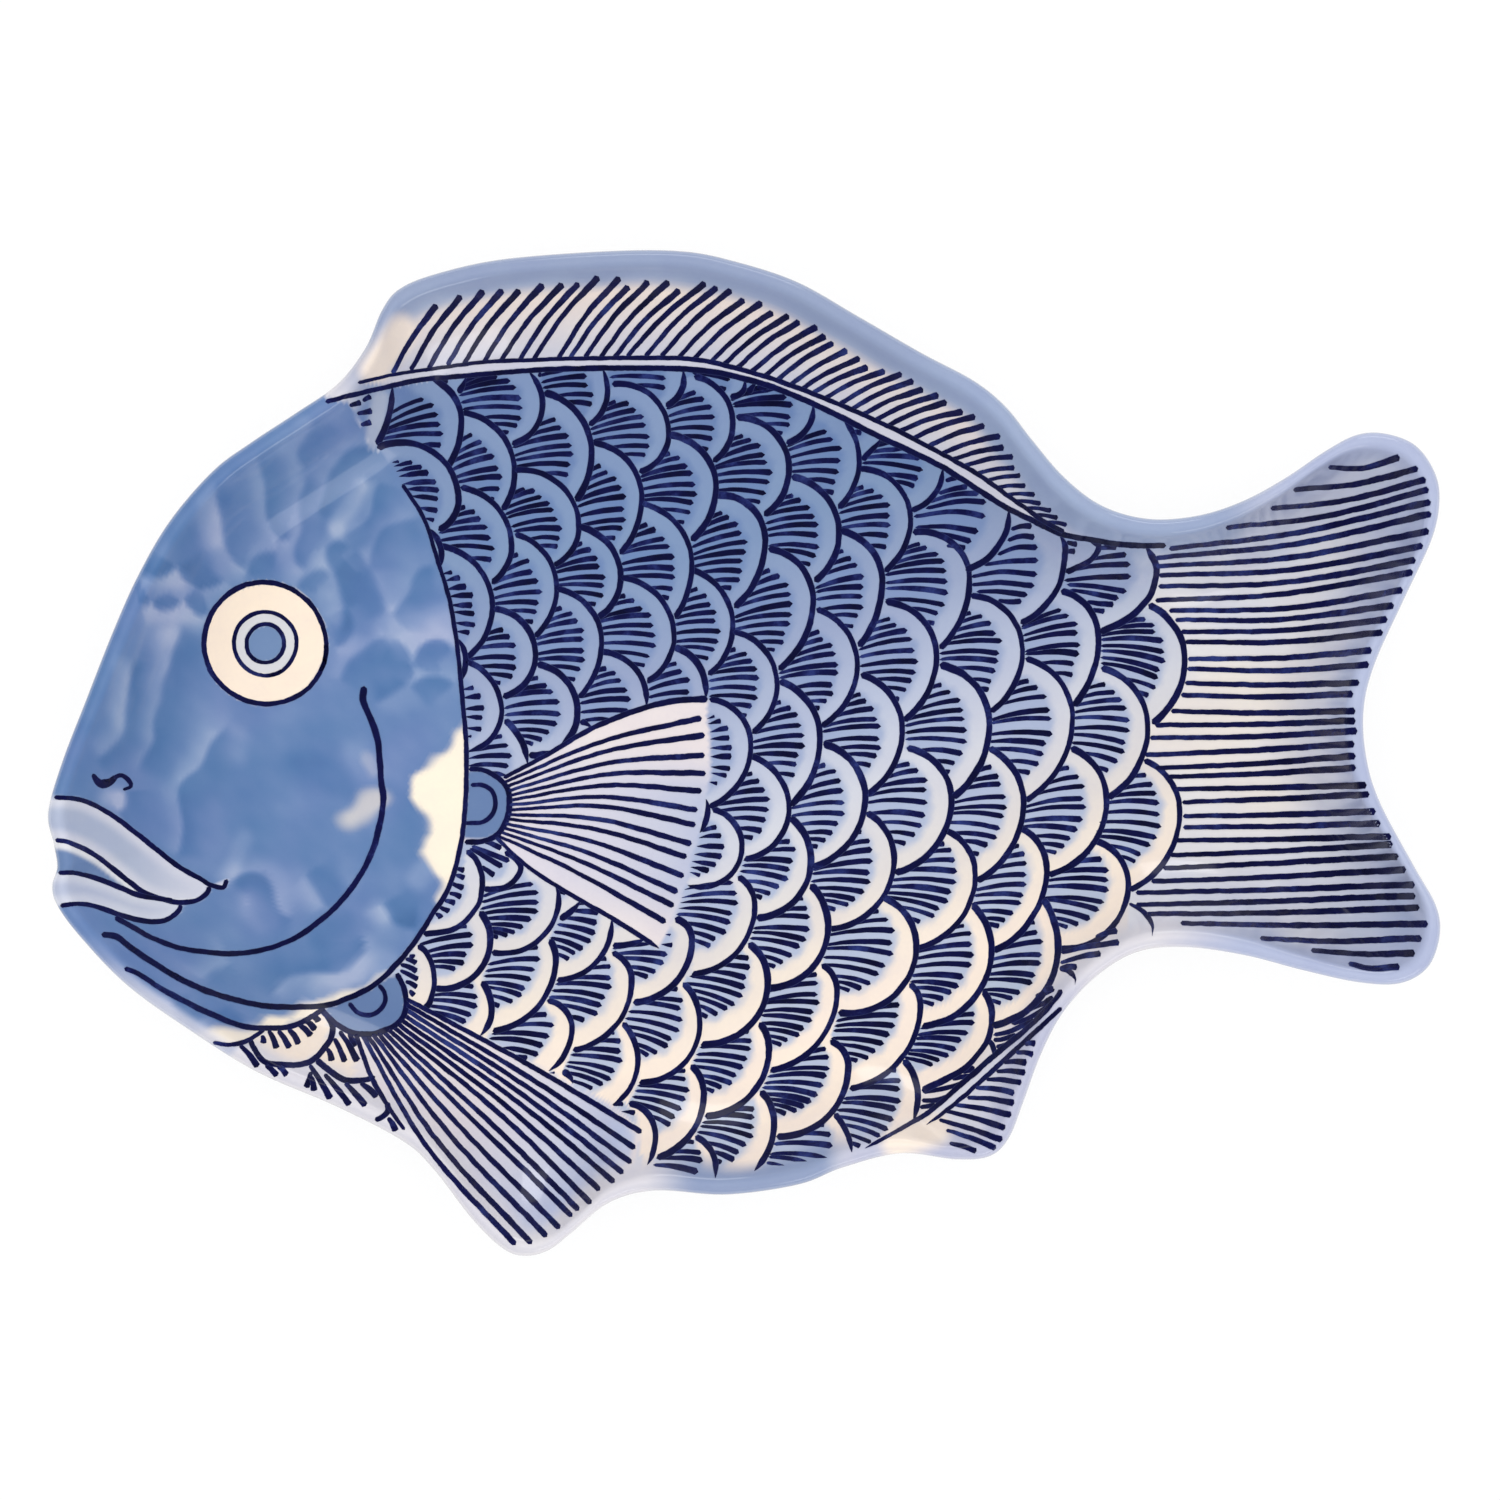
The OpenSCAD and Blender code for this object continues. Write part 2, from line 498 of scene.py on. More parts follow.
@dataclass(frozen=True)
class FootFinish:
    """Glazed flanks that end in a bare ground face of fired clay."""

    name: str = "bare_foot_clay"
    glaze_line: float = 0.0011
    clay: str = "cdb79a"
    clay_dark: str = "a98f70"
    glaze: str = "dfe1ea"
    stain: str = "a5805a"
    coat_roughness: float = 0.07

    def material(self) -> bpy.types.Material:
        """Buff clay below the glaze line, off-white glaze above it, with a stained edge between."""
        maker = MaterialMaker(self.name)
        place = maker.node("ShaderNodeTexCoord")["Object"]
        height = maker.node("ShaderNodeSeparateXYZ", inputs={"Vector": place})["Z"]
        speck = maker.noise(1400, 4)
        cloud = maker.noise(160, 3)
        line = (height - self.glaze_line + (cloud - 0.5) * 0.0008) * 4000
        above = line.clamp(0, 1)
        stain = (1 - ((line - 0.5) * (line - 0.5)) * 0.35).clamp(0, 1) * 0.6
        clay = maker.node("ShaderNodeValToRGB", {"stops": (
            (0.3, linear(self.clay_dark)), (0.6, linear(self.clay)))}, {"Fac": speck})["Color"]
        colour = maker.blend(above, clay, tuple(linear(self.glaze)))
        colour = maker.blend(stain, colour, tuple(linear(self.stain)))
        bump = maker.node("ShaderNodeBump", inputs={
            "Height": speck * (1 - above), "Strength": 0.5, "Distance": 0.0001})["Normal"]
        return maker.finish(Base_Color=colour, Roughness=0.8 - above * 0.55, Coat_Weight=above,
                            Coat_Roughness=self.coat_roughness, Normal=bump)


@dataclass
class DishForm:
    """The loft between the rim and the edge of the flat floor, as in the CAD source."""

    height: float = 0.036
    clay: float = 0.005
    wall_power: float = 2.2
    foot_height: float = 0.006
    samples: int = 972
    wall_rings: int = 44
    under_rings: int = 9
    lip_steps: int = 8
    floor_pitch: float = 0.00105
    under_pitch: float = 0.006
    row_share: float = 0.866
    clear_share: float = 0.6
    rim_shares: Row = (
        -0.5, -0.059, -0.49, -0.009, -0.473, 0.052, -0.454, 0.119, -0.436, 0.175, -0.413, 0.23, -0.382,
        0.28, -0.354, 0.309, -0.321, 0.339, -0.292, 0.367, -0.272, 0.403, -0.26, 0.441, -0.247, 0.462,
        -0.22, 0.477, -0.173, 0.491, -0.098, 0.499, -0.046, 0.499, -0.01, 0.49, 0.037, 0.469, 0.082,
        0.434, 0.127, 0.398, 0.165, 0.37, 0.188, 0.344, 0.207, 0.311, 0.23, 0.274, 0.257, 0.246, 0.29,
        0.233, 0.325, 0.236, 0.357, 0.25, 0.388, 0.273, 0.417, 0.3, 0.439, 0.316, 0.459, 0.318, 0.481,
        0.307, 0.495, 0.282, 0.4995, 0.253, 0.494, 0.213, 0.474, 0.153, 0.453, 0.089, 0.445, 0.043,
        0.447, -0.005, 0.457, -0.05, 0.481, -0.112, 0.497, -0.152, 0.4995, -0.182, 0.491, -0.213, 0.471,
        -0.229, 0.441, -0.228, 0.401, -0.216, 0.359, -0.201, 0.316, -0.193, 0.282, -0.198, 0.253, -0.222,
        0.229, -0.258, 0.213, -0.3, 0.201, -0.345, 0.19, -0.383, 0.176, -0.401, 0.152, -0.404, 0.112,
        -0.398, 0.071, -0.412, 0.039, -0.429, -0.013, -0.439, -0.064, -0.435, -0.097, -0.447, -0.124,
        -0.477, -0.14, -0.494, -0.157, -0.5, -0.173, -0.493, -0.195, -0.464, -0.223, -0.414, -0.245,
        -0.386, -0.292, -0.352, -0.35, -0.317, -0.4, -0.274, -0.444, -0.23, -0.478, -0.181, -0.494,
        -0.15, -0.497, -0.131, -0.4935, -0.113, -0.496, -0.09)
    floor_shares: Row = (
        -0.377, -0.037, -0.343, 0.073, -0.295, 0.163, -0.227, 0.233, -0.174, 0.29, -0.097, 0.314, -0.007,
        0.303, 0.091, 0.233, 0.174, 0.163, 0.3, 0.103, 0.388, 0.18, 0.425, 0.203, 0.402, 0.14, 0.36,
        0.038, 0.394, -0.057, 0.416, -0.12, 0.374, -0.102, 0.286, -0.062, 0.145, -0.147, 0.098, -0.232,
        0.04, -0.257, -0.057, -0.267, -0.111, -0.292, -0.162, -0.277, -0.227, -0.207, -0.339, -0.127,
        -0.373, -0.082)

    def __post_init__(self) -> None:
        """Work out the rim, the floor's edge and the wall's run at each sample."""
        size = np.array((DISH_LENGTH, DISH_WIDTH))
        self.rim, self.floor = (
            curve_through(shares, True, 2 * self.samples // len(shares)) * size
            for shares in (self.rim_shares, self.floor_shares))
        way = self.floor - self.rim
        span = np.linalg.norm(way, axis=1)
        self.way = way / span[:, None]
        self.half = self.clay / 2
        self.run = span - self.half
        self.mid_rise = self.height - self.clay - self.foot_height

    def slope(self, u: float) -> np.ndarray:
        """Angle of the wall's middle, at a share u of the way from the lip to the floor."""
        rise = self.mid_rise * self.wall_power * (1 - u)**(self.wall_power - 1)
        return np.arctan(rise / self.run)

    def ring(self, u: float, angle: np.ndarray) -> np.ndarray:
        """Points of the skin round the dish.

        Each is half the clay's thickness from the middle of the wall, at an angle that turns from
        straight up (0) outwards over the lip to straight down (pi). The middle's height is the
        floor's plus the rise times (1-u) to the wall's power.
        """
        reach = self.half + self.run * u - self.half * np.sin(angle)
        plan = self.rim + self.way * reach[:, None]
        middle = self.foot_height + self.half + self.mid_rise * (1 - u)**self.wall_power
        return np.column_stack((plan, middle + self.half * np.cos(angle)))

    def rings(self) -> tuple[list[np.ndarray], int]:
        """All rings from the floor's edge over the lip to the floor's underside.

        Returns:
            The rings, and how many of them belong to the painted inside.
        """
        zero = np.zeros(self.samples)
        inner = [self.ring(u, -self.slope(u)) for u in np.linspace(1, 0, self.wall_rings)]
        start, end = -self.slope(0), math.pi - self.slope(0)
        turn = np.linspace(0, 1, self.lip_steps + 2)[1:-1]
        lip = [self.ring(0, start + (end - start) * t + zero) for t in turn]
        outer = [self.ring(u, math.pi - self.slope(u)) for u in np.linspace(0, 1, self.under_rings)]
        return inner + lip + outer, len(inner) + len(lip) - 1

    def cap(self, ring: np.ndarray, pitch: float) -> tuple[np.ndarray, list]:
        """Fill a flat ring with triangles on a staggered grid.

        Args:
            ring: the flat edge, in order.
            pitch: distance between grid points.

        Returns:
            The new inner points, and triangles that count the ring first, then the new points.
        """
        low, high = ring[:, :2].min(0), ring[:, :2].max(0)
        x, y = np.meshgrid(np.arange(low[0], high[0], pitch),
                           np.arange(low[1], high[1], pitch * self.row_share))
        x = x + (np.arange(x.shape[0])[:, None] % 2) * pitch / 2
        grid = np.column_stack((x.ravel(), y.ravel()))
        grid = grid[inside(grid, ring[:, :2])]
        grid = grid[distance(grid, ring[:, :2], closed=True) > pitch * self.clear_share]
        flat = [Vector(p) for p in np.vstack((ring[:, :2], grid)).tolist()]
        edges = [(i, (i + 1) % len(ring)) for i in range(len(ring))]
        verts, _, faces, *_ = delaunay_2d_cdt(flat, edges, [], 1, 1e-9)
        if len(verts) != len(flat):
            raise ValueError("the floor's triangles need points that the ring doesn't have")
        return np.column_stack((grid, np.full(len(grid), ring[0, 2]))), faces


@dataclass
class ScaleField:
    """Scales of the flank, on a skewed lattice of their rearmost points.

    Row r runs from the head (small steps of k) down and back; a scale's neighbours are one step of
    k up its own row, and the rows before and after it. Places between and beyond the drawn ones
    come from a cubic surface fitted through them.

    rows and more hold the first k of a row and its drawn places, and spans its first and last k.
    starts and stops hold how far from its neighbours an outline begins and ends. drawn holds both
    parts of the outlines that follow no rule, and drawn_rays their rays.
    """

    rows: dict = field(default_factory=lambda: {
        6: (3, (1099, 546, 1156, 567, 1184, 660)),
        5: (1, (884, 432, 942, 470, 1008, 520, 1063, 561, 1098, 638, 1147, 727, 1179, 812)),
        4: (0, (745, 385, 813, 410, 859, 461, 910, 520, 969, 580, 1022, 650, 1072, 718, 1106, 800, 1127,
            883)),
        3: (0, (684, 380, 733, 424, 789, 469, 839, 533, 882, 582, 936, 656, 989, 724, 1023, 803, 1046,
            868, 1057, 945)),
        2: (0, (608, 392, 669, 434, 716, 488, 765, 540, 813, 600, 857, 665, 902, 730, 951, 800, 975,
            874, 991, 948, 991, 1013)),
        1: (0, (543, 405, 592, 453, 642, 498, 692, 565, 733, 626, 777, 684, 820, 738, 865, 797, 894,
            859, 916, 945, 920, 1004, 917, 1092)),
        0: (-1, (394, 388, 462, 421, 515, 472, 579, 527, 621, 578, 674, 636, 706, 690, 751, 745, 789,
            808, 811, 860, 828, 926, 837, 990, 848, 1066)),
        -1: (0, (383, 446, 459, 500, 512, 546, 557, 588, 602, 642, 647, 700, 676, 760, 708, 809, 742,
            846, 755, 905, 768, 980, 769, 1048, 774, 1121)),
        -2: (2, (442, 556, 493, 607, 536, 655, 578, 712)),
        -3: (4, (466, 660, 502, 711, 528, 767)),
        -4: (9, (532, 860, 559, 897, 556, 958, 572, 1028)),
        -5: (10, (484, 890, 491, 939, 492, 1009)),
        -6: (11, (416, 939, 434, 971))})
    more: dict = field(default_factory=lambda: {
        -2: (9, (682, 880, 692, 940, 700, 1022, 704, 1093, 716, 1166)),
        -3: (9, (590, 870, 612, 923, 632, 980, 638, 1060, 656, 1134))})
    spans: dict = field(default_factory=lambda: {
        6: (3, 5), 5: (1, 7), 4: (-1, 8), 3: (-2, 9), 2: (-2, 10), 1: (-2, 11), 0: (-3, 12),
        -1: (1, 12), -2: (0, 13), -3: (2, 13), -4: (9, 13), -5: (10, 13), -6: (12, 12)})
    starts: dict = field(default_factory=lambda: {
        (6, 5): (-9, 38), (5, 5): (-3, 30), (5, 6): (2, 30), (5, 7): (-4, 33), (4, 2): (20, 1),
        (4, 3): (0, 8), (4, 4): (2, 13), (4, 5): (1, 16), (3, 5): (3, 20), (4, 7): (-2, 30),
        (3, 7): (-1, 24), (2, 7): (4, 18), (4, 8): (-14, 40), (2, 8): (-6, 30), (3, 8): (-3, 25),
        (1, 8): (1, 15), (0, 8): (1, 9), (-1, 8): (4, 0), (0, 9): (-1, 24), (1, 9): (-11, 38),
        (0, 11): (-7, 50), (-4, 10): (8, 15), (-3, 10): (-3, 20), (-5, 11): (-4, 21),
        (-6, 12): (2, 6), (-3, 11): (0, 29), (0, 0): (36, -8), (-1, 1): (-5, 3), (0, 1): (1, -8),
        (1, 1): (1, -12), (2, 1): (4, -7), (3, 1): (10, -3), (0, 2): (0, -1), (1, 2): (1, -10),
        (2, 2): (0, 1), (3, 2): (3, -6), (-1, 2): (2, -12), (0, 3): (0, 0), (1, 3): (0, 6),
        (2, 3): (-1, 8), (-1, 3): (3, -12), (3, 3): (2, 8), (-2, 3): (-2, -10), (0, 4): (0, 0),
        (1, 4): (0, 5), (-1, 4): (0, 1), (-2, 4): (1, 2), (3, 4): (1, -2), (0, 5): (0, 11),
        (1, 5): (0, 6), (-1, 5): (-1, 10), (-2, 5): (1, 9), (-3, 5): (0, 1), (1, 6): (2, -3),
        (0, 7): (0, 11), (1, 7): (3, 6), (1, 11): (-17, 55), (0, 12): (-14, 46)})
    stops: dict = field(default_factory=lambda: {
        (0, -1): (-5, 0), (0, 0): (-11, -32), (0, 1): (-9, -35), (0, 2): (-3, -22), (0, 3): (-4, -24),
        (0, 4): (0, -18), (1, 4): (2, -15), (-1, 3): (-1, -18), (-2, 3): (1, -2), (4, 3): (2, -10),
        (4, 4): (3, -7), (3, 4): (1, -18), (3, 5): (1, -9), (6, 5): (4, -3), (0, 7): (2, 13),
        (2, 7): (0, 14), (0, 8): (1, 13), (0, 9): (-1, 8), (3, 9): (0, 12), (-1, 9): (0, 34),
        (0, 11): (2, 14), (5, 2): (1, -9), (-4, 10): (1, 13), (-5, 11): (1, 17)})
    drawn: dict = field(default_factory=lambda: {
        (2, 10): ((982, 990, 987, 997, 990, 1006, 991, 1013),
            (991, 1013, 990, 1027, 986, 1040, 977, 1053, 964, 1067, 947, 1077, 921, 1090)),
        (-4, 9): ((505, 852, 514, 856, 521, 864),
            (521, 864, 521, 870, 515, 880, 506, 887, 496, 889, 484, 889)),
        (-5, 10): ((467, 850, 476, 859, 482, 873, 483, 886),
            (483, 886, 481, 900, 476, 909, 467, 920, 454, 929, 442, 932, 424, 934)),
        (-6, 12): ((418, 945, 426, 951, 432, 962, 434, 971),
            (434, 971, 435, 985, 433, 995, 430, 1003, 425, 1008)),
        (5, 1): ((870, 425, 878, 429, 884, 434),
            (884, 434, 877, 445, 868, 454, 862, 461)),
        (5, 3): ((980, 478, 996, 490, 1007, 505),
            (1007, 505, 1008, 519, 1005, 533, 996, 549, 984, 561, 965, 571)),
        (5, 4): ((1030, 518, 1046, 526, 1058, 534),
            (1058, 534, 1064, 547, 1063, 565, 1059, 583, 1050, 599, 1037, 613, 1020, 624)),
        (6, 3): ((1085, 540, 1092, 543, 1098, 546),
            (1098, 546, 1095, 554, 1086, 563, 1065, 573)),
        (6, 4): ((1130, 543, 1138, 545, 1145, 549),
            (1145, 549, 1153, 561, 1155, 574, 1150, 594, 1141, 606, 1127, 619, 1099, 633))})
    drawn_rays: dict = field(default_factory=lambda: {
        (0, -1): ((365, 403, 369, 400, 373, 398), (352, 408, 357, 406, 363, 404),
            (359, 415, 366, 414, 374, 412), (363, 427, 368, 425, 373, 423)),
        (-4, 9): ((484, 841, 493, 844, 502, 848), (472, 846, 490, 853, 510, 861),
            (470, 848, 486, 857, 503, 867), (482, 866, 488, 870, 495, 875)),
        (-5, 10): ((457, 868, 460, 869, 465, 870), (456, 875, 460, 876, 465, 878),
            (451, 883, 457, 885, 464, 888), (450, 893, 456, 894, 462, 897),
            (445, 900, 450, 901, 456, 903), (440, 907, 444, 909, 450, 911),
            (436, 914, 439, 915, 442, 918)),
        (-6, 12): ((410, 955, 412, 956, 415, 957), (406, 958, 411, 960, 417, 963),
            (401, 964, 410, 967, 418, 971), (401, 970, 410, 974, 419, 979),
            (406, 981, 412, 983, 418, 987), (410, 990, 412, 992, 415, 995)),
        (5, 3): ((945, 482, 950, 480, 956, 478), (938, 494, 952, 490, 967, 487),
            (928, 503, 954, 495, 979, 494), (925, 509, 958, 502, 986, 503),
            (913, 517, 954, 512, 985, 517), (915, 528, 945, 527, 978, 532),
            (928, 532, 950, 536, 971, 542), (946, 546, 956, 547, 965, 549)),
        (5, 4): ((1010, 530, 1020, 527, 1031, 527), (1007, 541, 1020, 537, 1034, 538),
            (997, 555, 1016, 548, 1037, 548), (982, 565, 1008, 562, 1038, 561),
            (970, 577, 1000, 572, 1037, 575), (970, 585, 1000, 583, 1034, 586),
            (976, 592, 1000, 592, 1027, 595), (997, 601, 1010, 602, 1021, 602)),
        (6, 3): ((1065, 543, 1070, 544, 1076, 545), (1065, 552, 1070, 552, 1074, 552)),
        (6, 4): ((1098, 549, 1106, 548, 1115, 548), (1091, 560, 1107, 557, 1125, 555),
            (1068, 571, 1097, 566, 1129, 565), (1063, 581, 1096, 578, 1130, 577),
            (1066, 585, 1096, 587, 1126, 592), (1069, 590, 1094, 594, 1118, 599),
            (1086, 602, 1099, 604, 1113, 605), (1091, 610, 1098, 611, 1104, 612))})
    last_strokes: tuple = (
        (1034, 996, 1043, 992, 1053, 988), (1021, 1011, 1037, 1004, 1053, 998),
        (1010, 1023, 1029, 1016, 1048, 1003), (992, 1034, 1009, 1030, 1034, 1018),
        (992, 1039, 1001, 1038, 1015, 1033), (995, 1046, 1000, 1045, 1007, 1042),
        (986, 1039, 990, 1042, 993, 1049, 994, 1056), (961, 1071, 967, 1069, 974, 1066),
        (951, 1078, 960, 1076, 973, 1074), (922, 1091, 945, 1087, 963, 1081),
        (921, 1099, 935, 1099, 948, 1095), (919, 1106, 926, 1105, 935, 1103))
    line: float = 5.5
    ray_gap: float = 9.2
    ray_start: float = 3.0
    ray_ends: tuple[float, float] = (5.2, 6.5)
    inset_share: float = 0.245
    shortest_ray: float = 7.0

    def __post_init__(self) -> None:
        """Fit the cubic surface, and hold every drawn place in one table."""
        self.known = {(r, first + i): place for table in (self.rows, self.more)
                      for r, (first, row) in table.items() for i, place in enumerate(places(row))}
        self.keys = np.array(list(self.known), float)
        self.values = np.array(list(self.known.values()))
        self.fit = np.linalg.lstsq(self._terms(self.keys), self.values, rcond=None)[0]

    @staticmethod
    def _terms(keys: np.ndarray) -> np.ndarray:
        """Products of powers of r and k, up to the third degree together."""
        r, k = keys[:, 0] / 6, (keys[:, 1] - 5) / 6
        return np.column_stack([r**i * k**j for i in range(4) for j in range(4 - i)])

    def place(self, r: int, k: int) -> np.ndarray:
        """Rearmost point of a scale: the drawn one, or the fitted one eased to its neighbours."""
        if (r, k) in self.known:
            return self.known[r, k]
        key = np.array([[r, k]], float)
        guess = (self._terms(key) @ self.fit)[0]
        far = ((self.keys - key)**2).sum(1)
        near = np.argsort(far)[:3]
        miss = self.values[near] - self._terms(self.keys[near]) @ self.fit
        weight = 1 / (far[near] + 0.5)
        return guess + (miss * weight[:, None]).sum(0) / weight.sum() * 0.8

    def upper(self, r: int, k: int) -> np.ndarray:
        """Upper part of a scale's outline, from its upper neighbour round to its rearmost point."""
        if (r, k) in self.drawn:
            return curve_through(self.drawn[r, k][0])
        end, top = self.place(r, k), self.place(r, k - 1)
        steps = (6, 7, 8, 9, 10, 11)
        start = top + self.starts.get((r, k), (np.interp(k, steps, (3, 1, 0, -4, -7, -9)),
                                               np.interp(k, steps, (9, 20, 20, 30, 38, 42))))
        return arc(start, end, False)

    def lower(self, r: int, k: int) -> np.ndarray:
        """Lower part of the outline, from the rearmost point down to the lower neighbour."""
        if (r, k) in self.drawn:
            return curve_through(self.drawn[r, k][1])
        low = self.place(r - 1, k + 1)
        steps = (0, 2, 3, 4, 5, 6, 7, 8, 9, 10)
        stop = low + self.stops.get((r, k), (
            np.interp(k, (1, 3), (-3, 1)),
            np.interp(k, steps, (-27, -24, -18, -14, -12, -2, 7, 3, 22, 22))))
        return arc(self.place(r, k), stop, True)

    def outline(self, r: int, k: int) -> np.ndarray:
        """Whole outline of a scale, from its upper neighbour to its lower one."""
        return np.vstack((self.upper(r, k), self.lower(r, k)[1:]))

    def boundary(self, r: int, k: int) -> np.ndarray:
        """Side of a scale that meets the neighbours before it, from top to bottom."""
        before = self.lower(5, 4)[:40] if (r, k) == (6, 3) else self.lower(r, k - 1)
        return np.vstack((before, self.upper(r - 1, k + 1)))

    def scales(self) -> list[tuple[int, int]]:
        """Keys of all scales, from the tail to the head."""
        keys = [(r, k) for r, (first, last) in self.spans.items() for k in range(first, last + 1)]
        return sorted(keys, key=lambda key: -self.place(*key)[0])

    def paint_outlines(self, brush: Brushwork, limits: Limits) -> None:
        """Draw each outline in one stroke, thicker where it meets its neighbours."""
        for r, k in self.scales():
            width = self.line * brush.draw.uniform(1.0, 1.25)
            brush.clipped(self.outline(r, k), np.array((1.15, 0.9, 1.1)) * width, limits.scales,
                          load=0.66)

    def paint_rays(self, brush: Brushwork, limits: Limits) -> None:
        """Draw each scale's fan of rays.

        They end thick and blunt on an arc a quarter of the way in from the outline towards the
        root. Each is cast back from there, at an angle to the scale's axis that turns from the top
        ray to the bottom one, and starts thin on the outline of the neighbour that it meets.
        """
        for r, k in self.scales():
            root = self.place(r - 1, k)
            axis = (self.place(r, k) - root) / np.linalg.norm(self.place(r, k) - root)
            outline, boundary = self.outline(r, k), self.boundary(r, k)
            rim = outline + (root - outline) * self.inset_share
            length = np.linalg.norm(np.diff(rim, axis=0), axis=1).sum()
            count = int(np.clip(round(length * 0.8 / self.ray_gap), 5, 10))
            spread = np.linspace(0, 1, count)
            ends = along(rim, 0.10 + 0.80 * spread + brush.draw.uniform(-0.012, 0.012, count))
            lean = math.degrees(math.atan2(axis[1], axis[0])) * -0.5
            turns = lean + np.interp(spread, (0, 0.15, 0.5, 1), (-17, -12, -1, 13))
            for end, turn, share in zip(ends, turns + brush.draw.uniform(-2, 2, count), spread):
                way = turned(axis, turn)
                start = meet(end, -way, boundary)
                thick = brush.draw.uniform(*self.ray_ends) * (0.86 + 0.18 * math.sin(math.pi * share))
                load = brush.draw.uniform(0.45, 0.85)
                if (r, k) in self.drawn_rays or start is None:
                    continue
                reach = np.linalg.norm(end - start)
                if reach < self.shortest_ray:
                    continue
                up = np.array((way[1], -way[0])) * reach * 0.055
                end = end + way * brush.draw.uniform(-2.5, 2.5)
                path = bezier(start, start + way * reach * 0.33 + up,
                              end - way * reach * 0.33 + up, end, 16)
                brush.clipped(path, np.array((self.ray_start, thick * 0.88, thick)), limits.scales,
                              load, True)
            for line in self.drawn_rays.get((r, k), ()):
                brush.stroke(line, (3.6, 5.2, 6.2), brush.draw.uniform(0.5, 0.75), True)
        for line in self.last_strokes:
            brush.stroke(line, (4.4, 5.2, 4.2), brush.draw.uniform(0.6, 0.8))


@dataclass
class Limits:
    """Outlines, on the drawing grid, that keep the fields of the painting apart.

    The last numbers say where the flank leaves the back line, and where the flank and the head
    leave the gill line, in points of the smooth curves.
    """

    gill: Row = (
        403, 485, 425, 520, 438, 560, 450, 600, 457, 640, 461, 680, 465, 720, 467, 760, 466, 800, 462,
        840, 452, 880, 440, 903, 413, 945, 391, 970, 373, 986, 350, 997, 329, 1004, 304, 1006, 270, 1005,
        235, 998, 205, 988, 178, 975, 155, 961, 136, 948, 120, 936, 105, 933)
    back_line: Row = (
        328, 404, 359, 396, 417, 382, 465, 377, 538, 371, 611, 369, 698, 371, 760, 384, 816, 406, 872,
        434, 940, 467, 998, 504, 1041, 526, 1060, 535, 1097, 542, 1125, 546, 1164, 547)
    anal_line: Row = (
        864, 1146, 907, 1123, 930, 1109, 964, 1080, 998, 1050, 1033, 1020, 1054, 997, 1060, 988)
    breast_top: Row = (504, 778, 547, 755, 595, 727, 641, 709, 675, 701, 708, 699)
    breast_low: Row = (496, 837, 529, 867, 572, 895, 607, 915, 641, 936, 659, 948)
    breast_ends: Row = (
        702, 718, 705, 735, 705, 755, 706, 773, 702, 791, 698, 810, 696, 825, 692, 844, 687, 857, 684,
        876, 678, 892, 674, 906, 666, 922)
    breast_root_top: Row = (466, 768, 484, 770, 500, 779)
    breast_root_low: Row = (499, 833, 485, 841, 463, 842)
    belly_fin_top: Row = (413, 1005, 482, 1037, 557, 1076, 617, 1107, 642, 1131)
    belly_fin_low: Row = (
        636, 1160, 600, 1205, 548, 1262, 470, 1262, 430, 1180, 358, 1090, 352, 1034, 326, 1012, 350, 996,
        372, 985, 396, 973, 406, 990)
    tail_root: Row = (1215, 600, 1215, 860, 1160, 925, 1140, 930, 1062, 985)
    belly: Row = (851, 1150, 812, 1158, 763, 1167, 716, 1177, 680, 1172, 648, 1169)
    belly_joint: Row = (405, 993, 392, 974)
    neck: Row = (392, 462, 383, 452, 372, 448, 366, 432, 357, 414, 350, 400)
    head_top: Row = (
        0, 0, 300, 0, 328, 400, 350, 404, 357, 416, 366, 432, 370, 449, 384, 452, 393, 466, 403, 485)
    head_low: Row = (
        326, 1009, 311, 1018, 293, 1026, 270, 1030, 256, 1040, 240, 1047, 228, 1062, 0, 1062)
    back_from: int = 8
    gill_to: tuple[int, int] = (135, 165)

    def __post_init__(self) -> None:
        """Join the lines into closed fields."""
        gill, fin_top = curve_through(self.gill), curve_through(self.belly_fin_top)
        self.head = np.vstack((places(self.head_top), gill[:self.gill_to[1]], places(self.head_low)))
        self.breast_fin = np.vstack((
            places(self.breast_root_top), curve_through(self.breast_top),
            places(self.breast_ends) + (5, 1), curve_through(self.breast_low)[::-1],
            places(self.breast_root_low)))
        self.belly_fin = np.vstack((fin_top, places(self.belly_fin_low)))
        self.flank = np.vstack((
            curve_through(self.back_line)[self.back_from:], places(self.tail_root),
            curve_through(self.anal_line)[::-1], places(self.belly), fin_top[::-1],
            places(self.belly_joint), gill[:self.gill_to[0]][::-1], places(self.neck)))

    def scales(self, path: np.ndarray) -> np.ndarray:
        """Tell which places may hold a stroke of the scales."""
        return inside(path, self.flank) & ~inside(path, self.breast_fin)


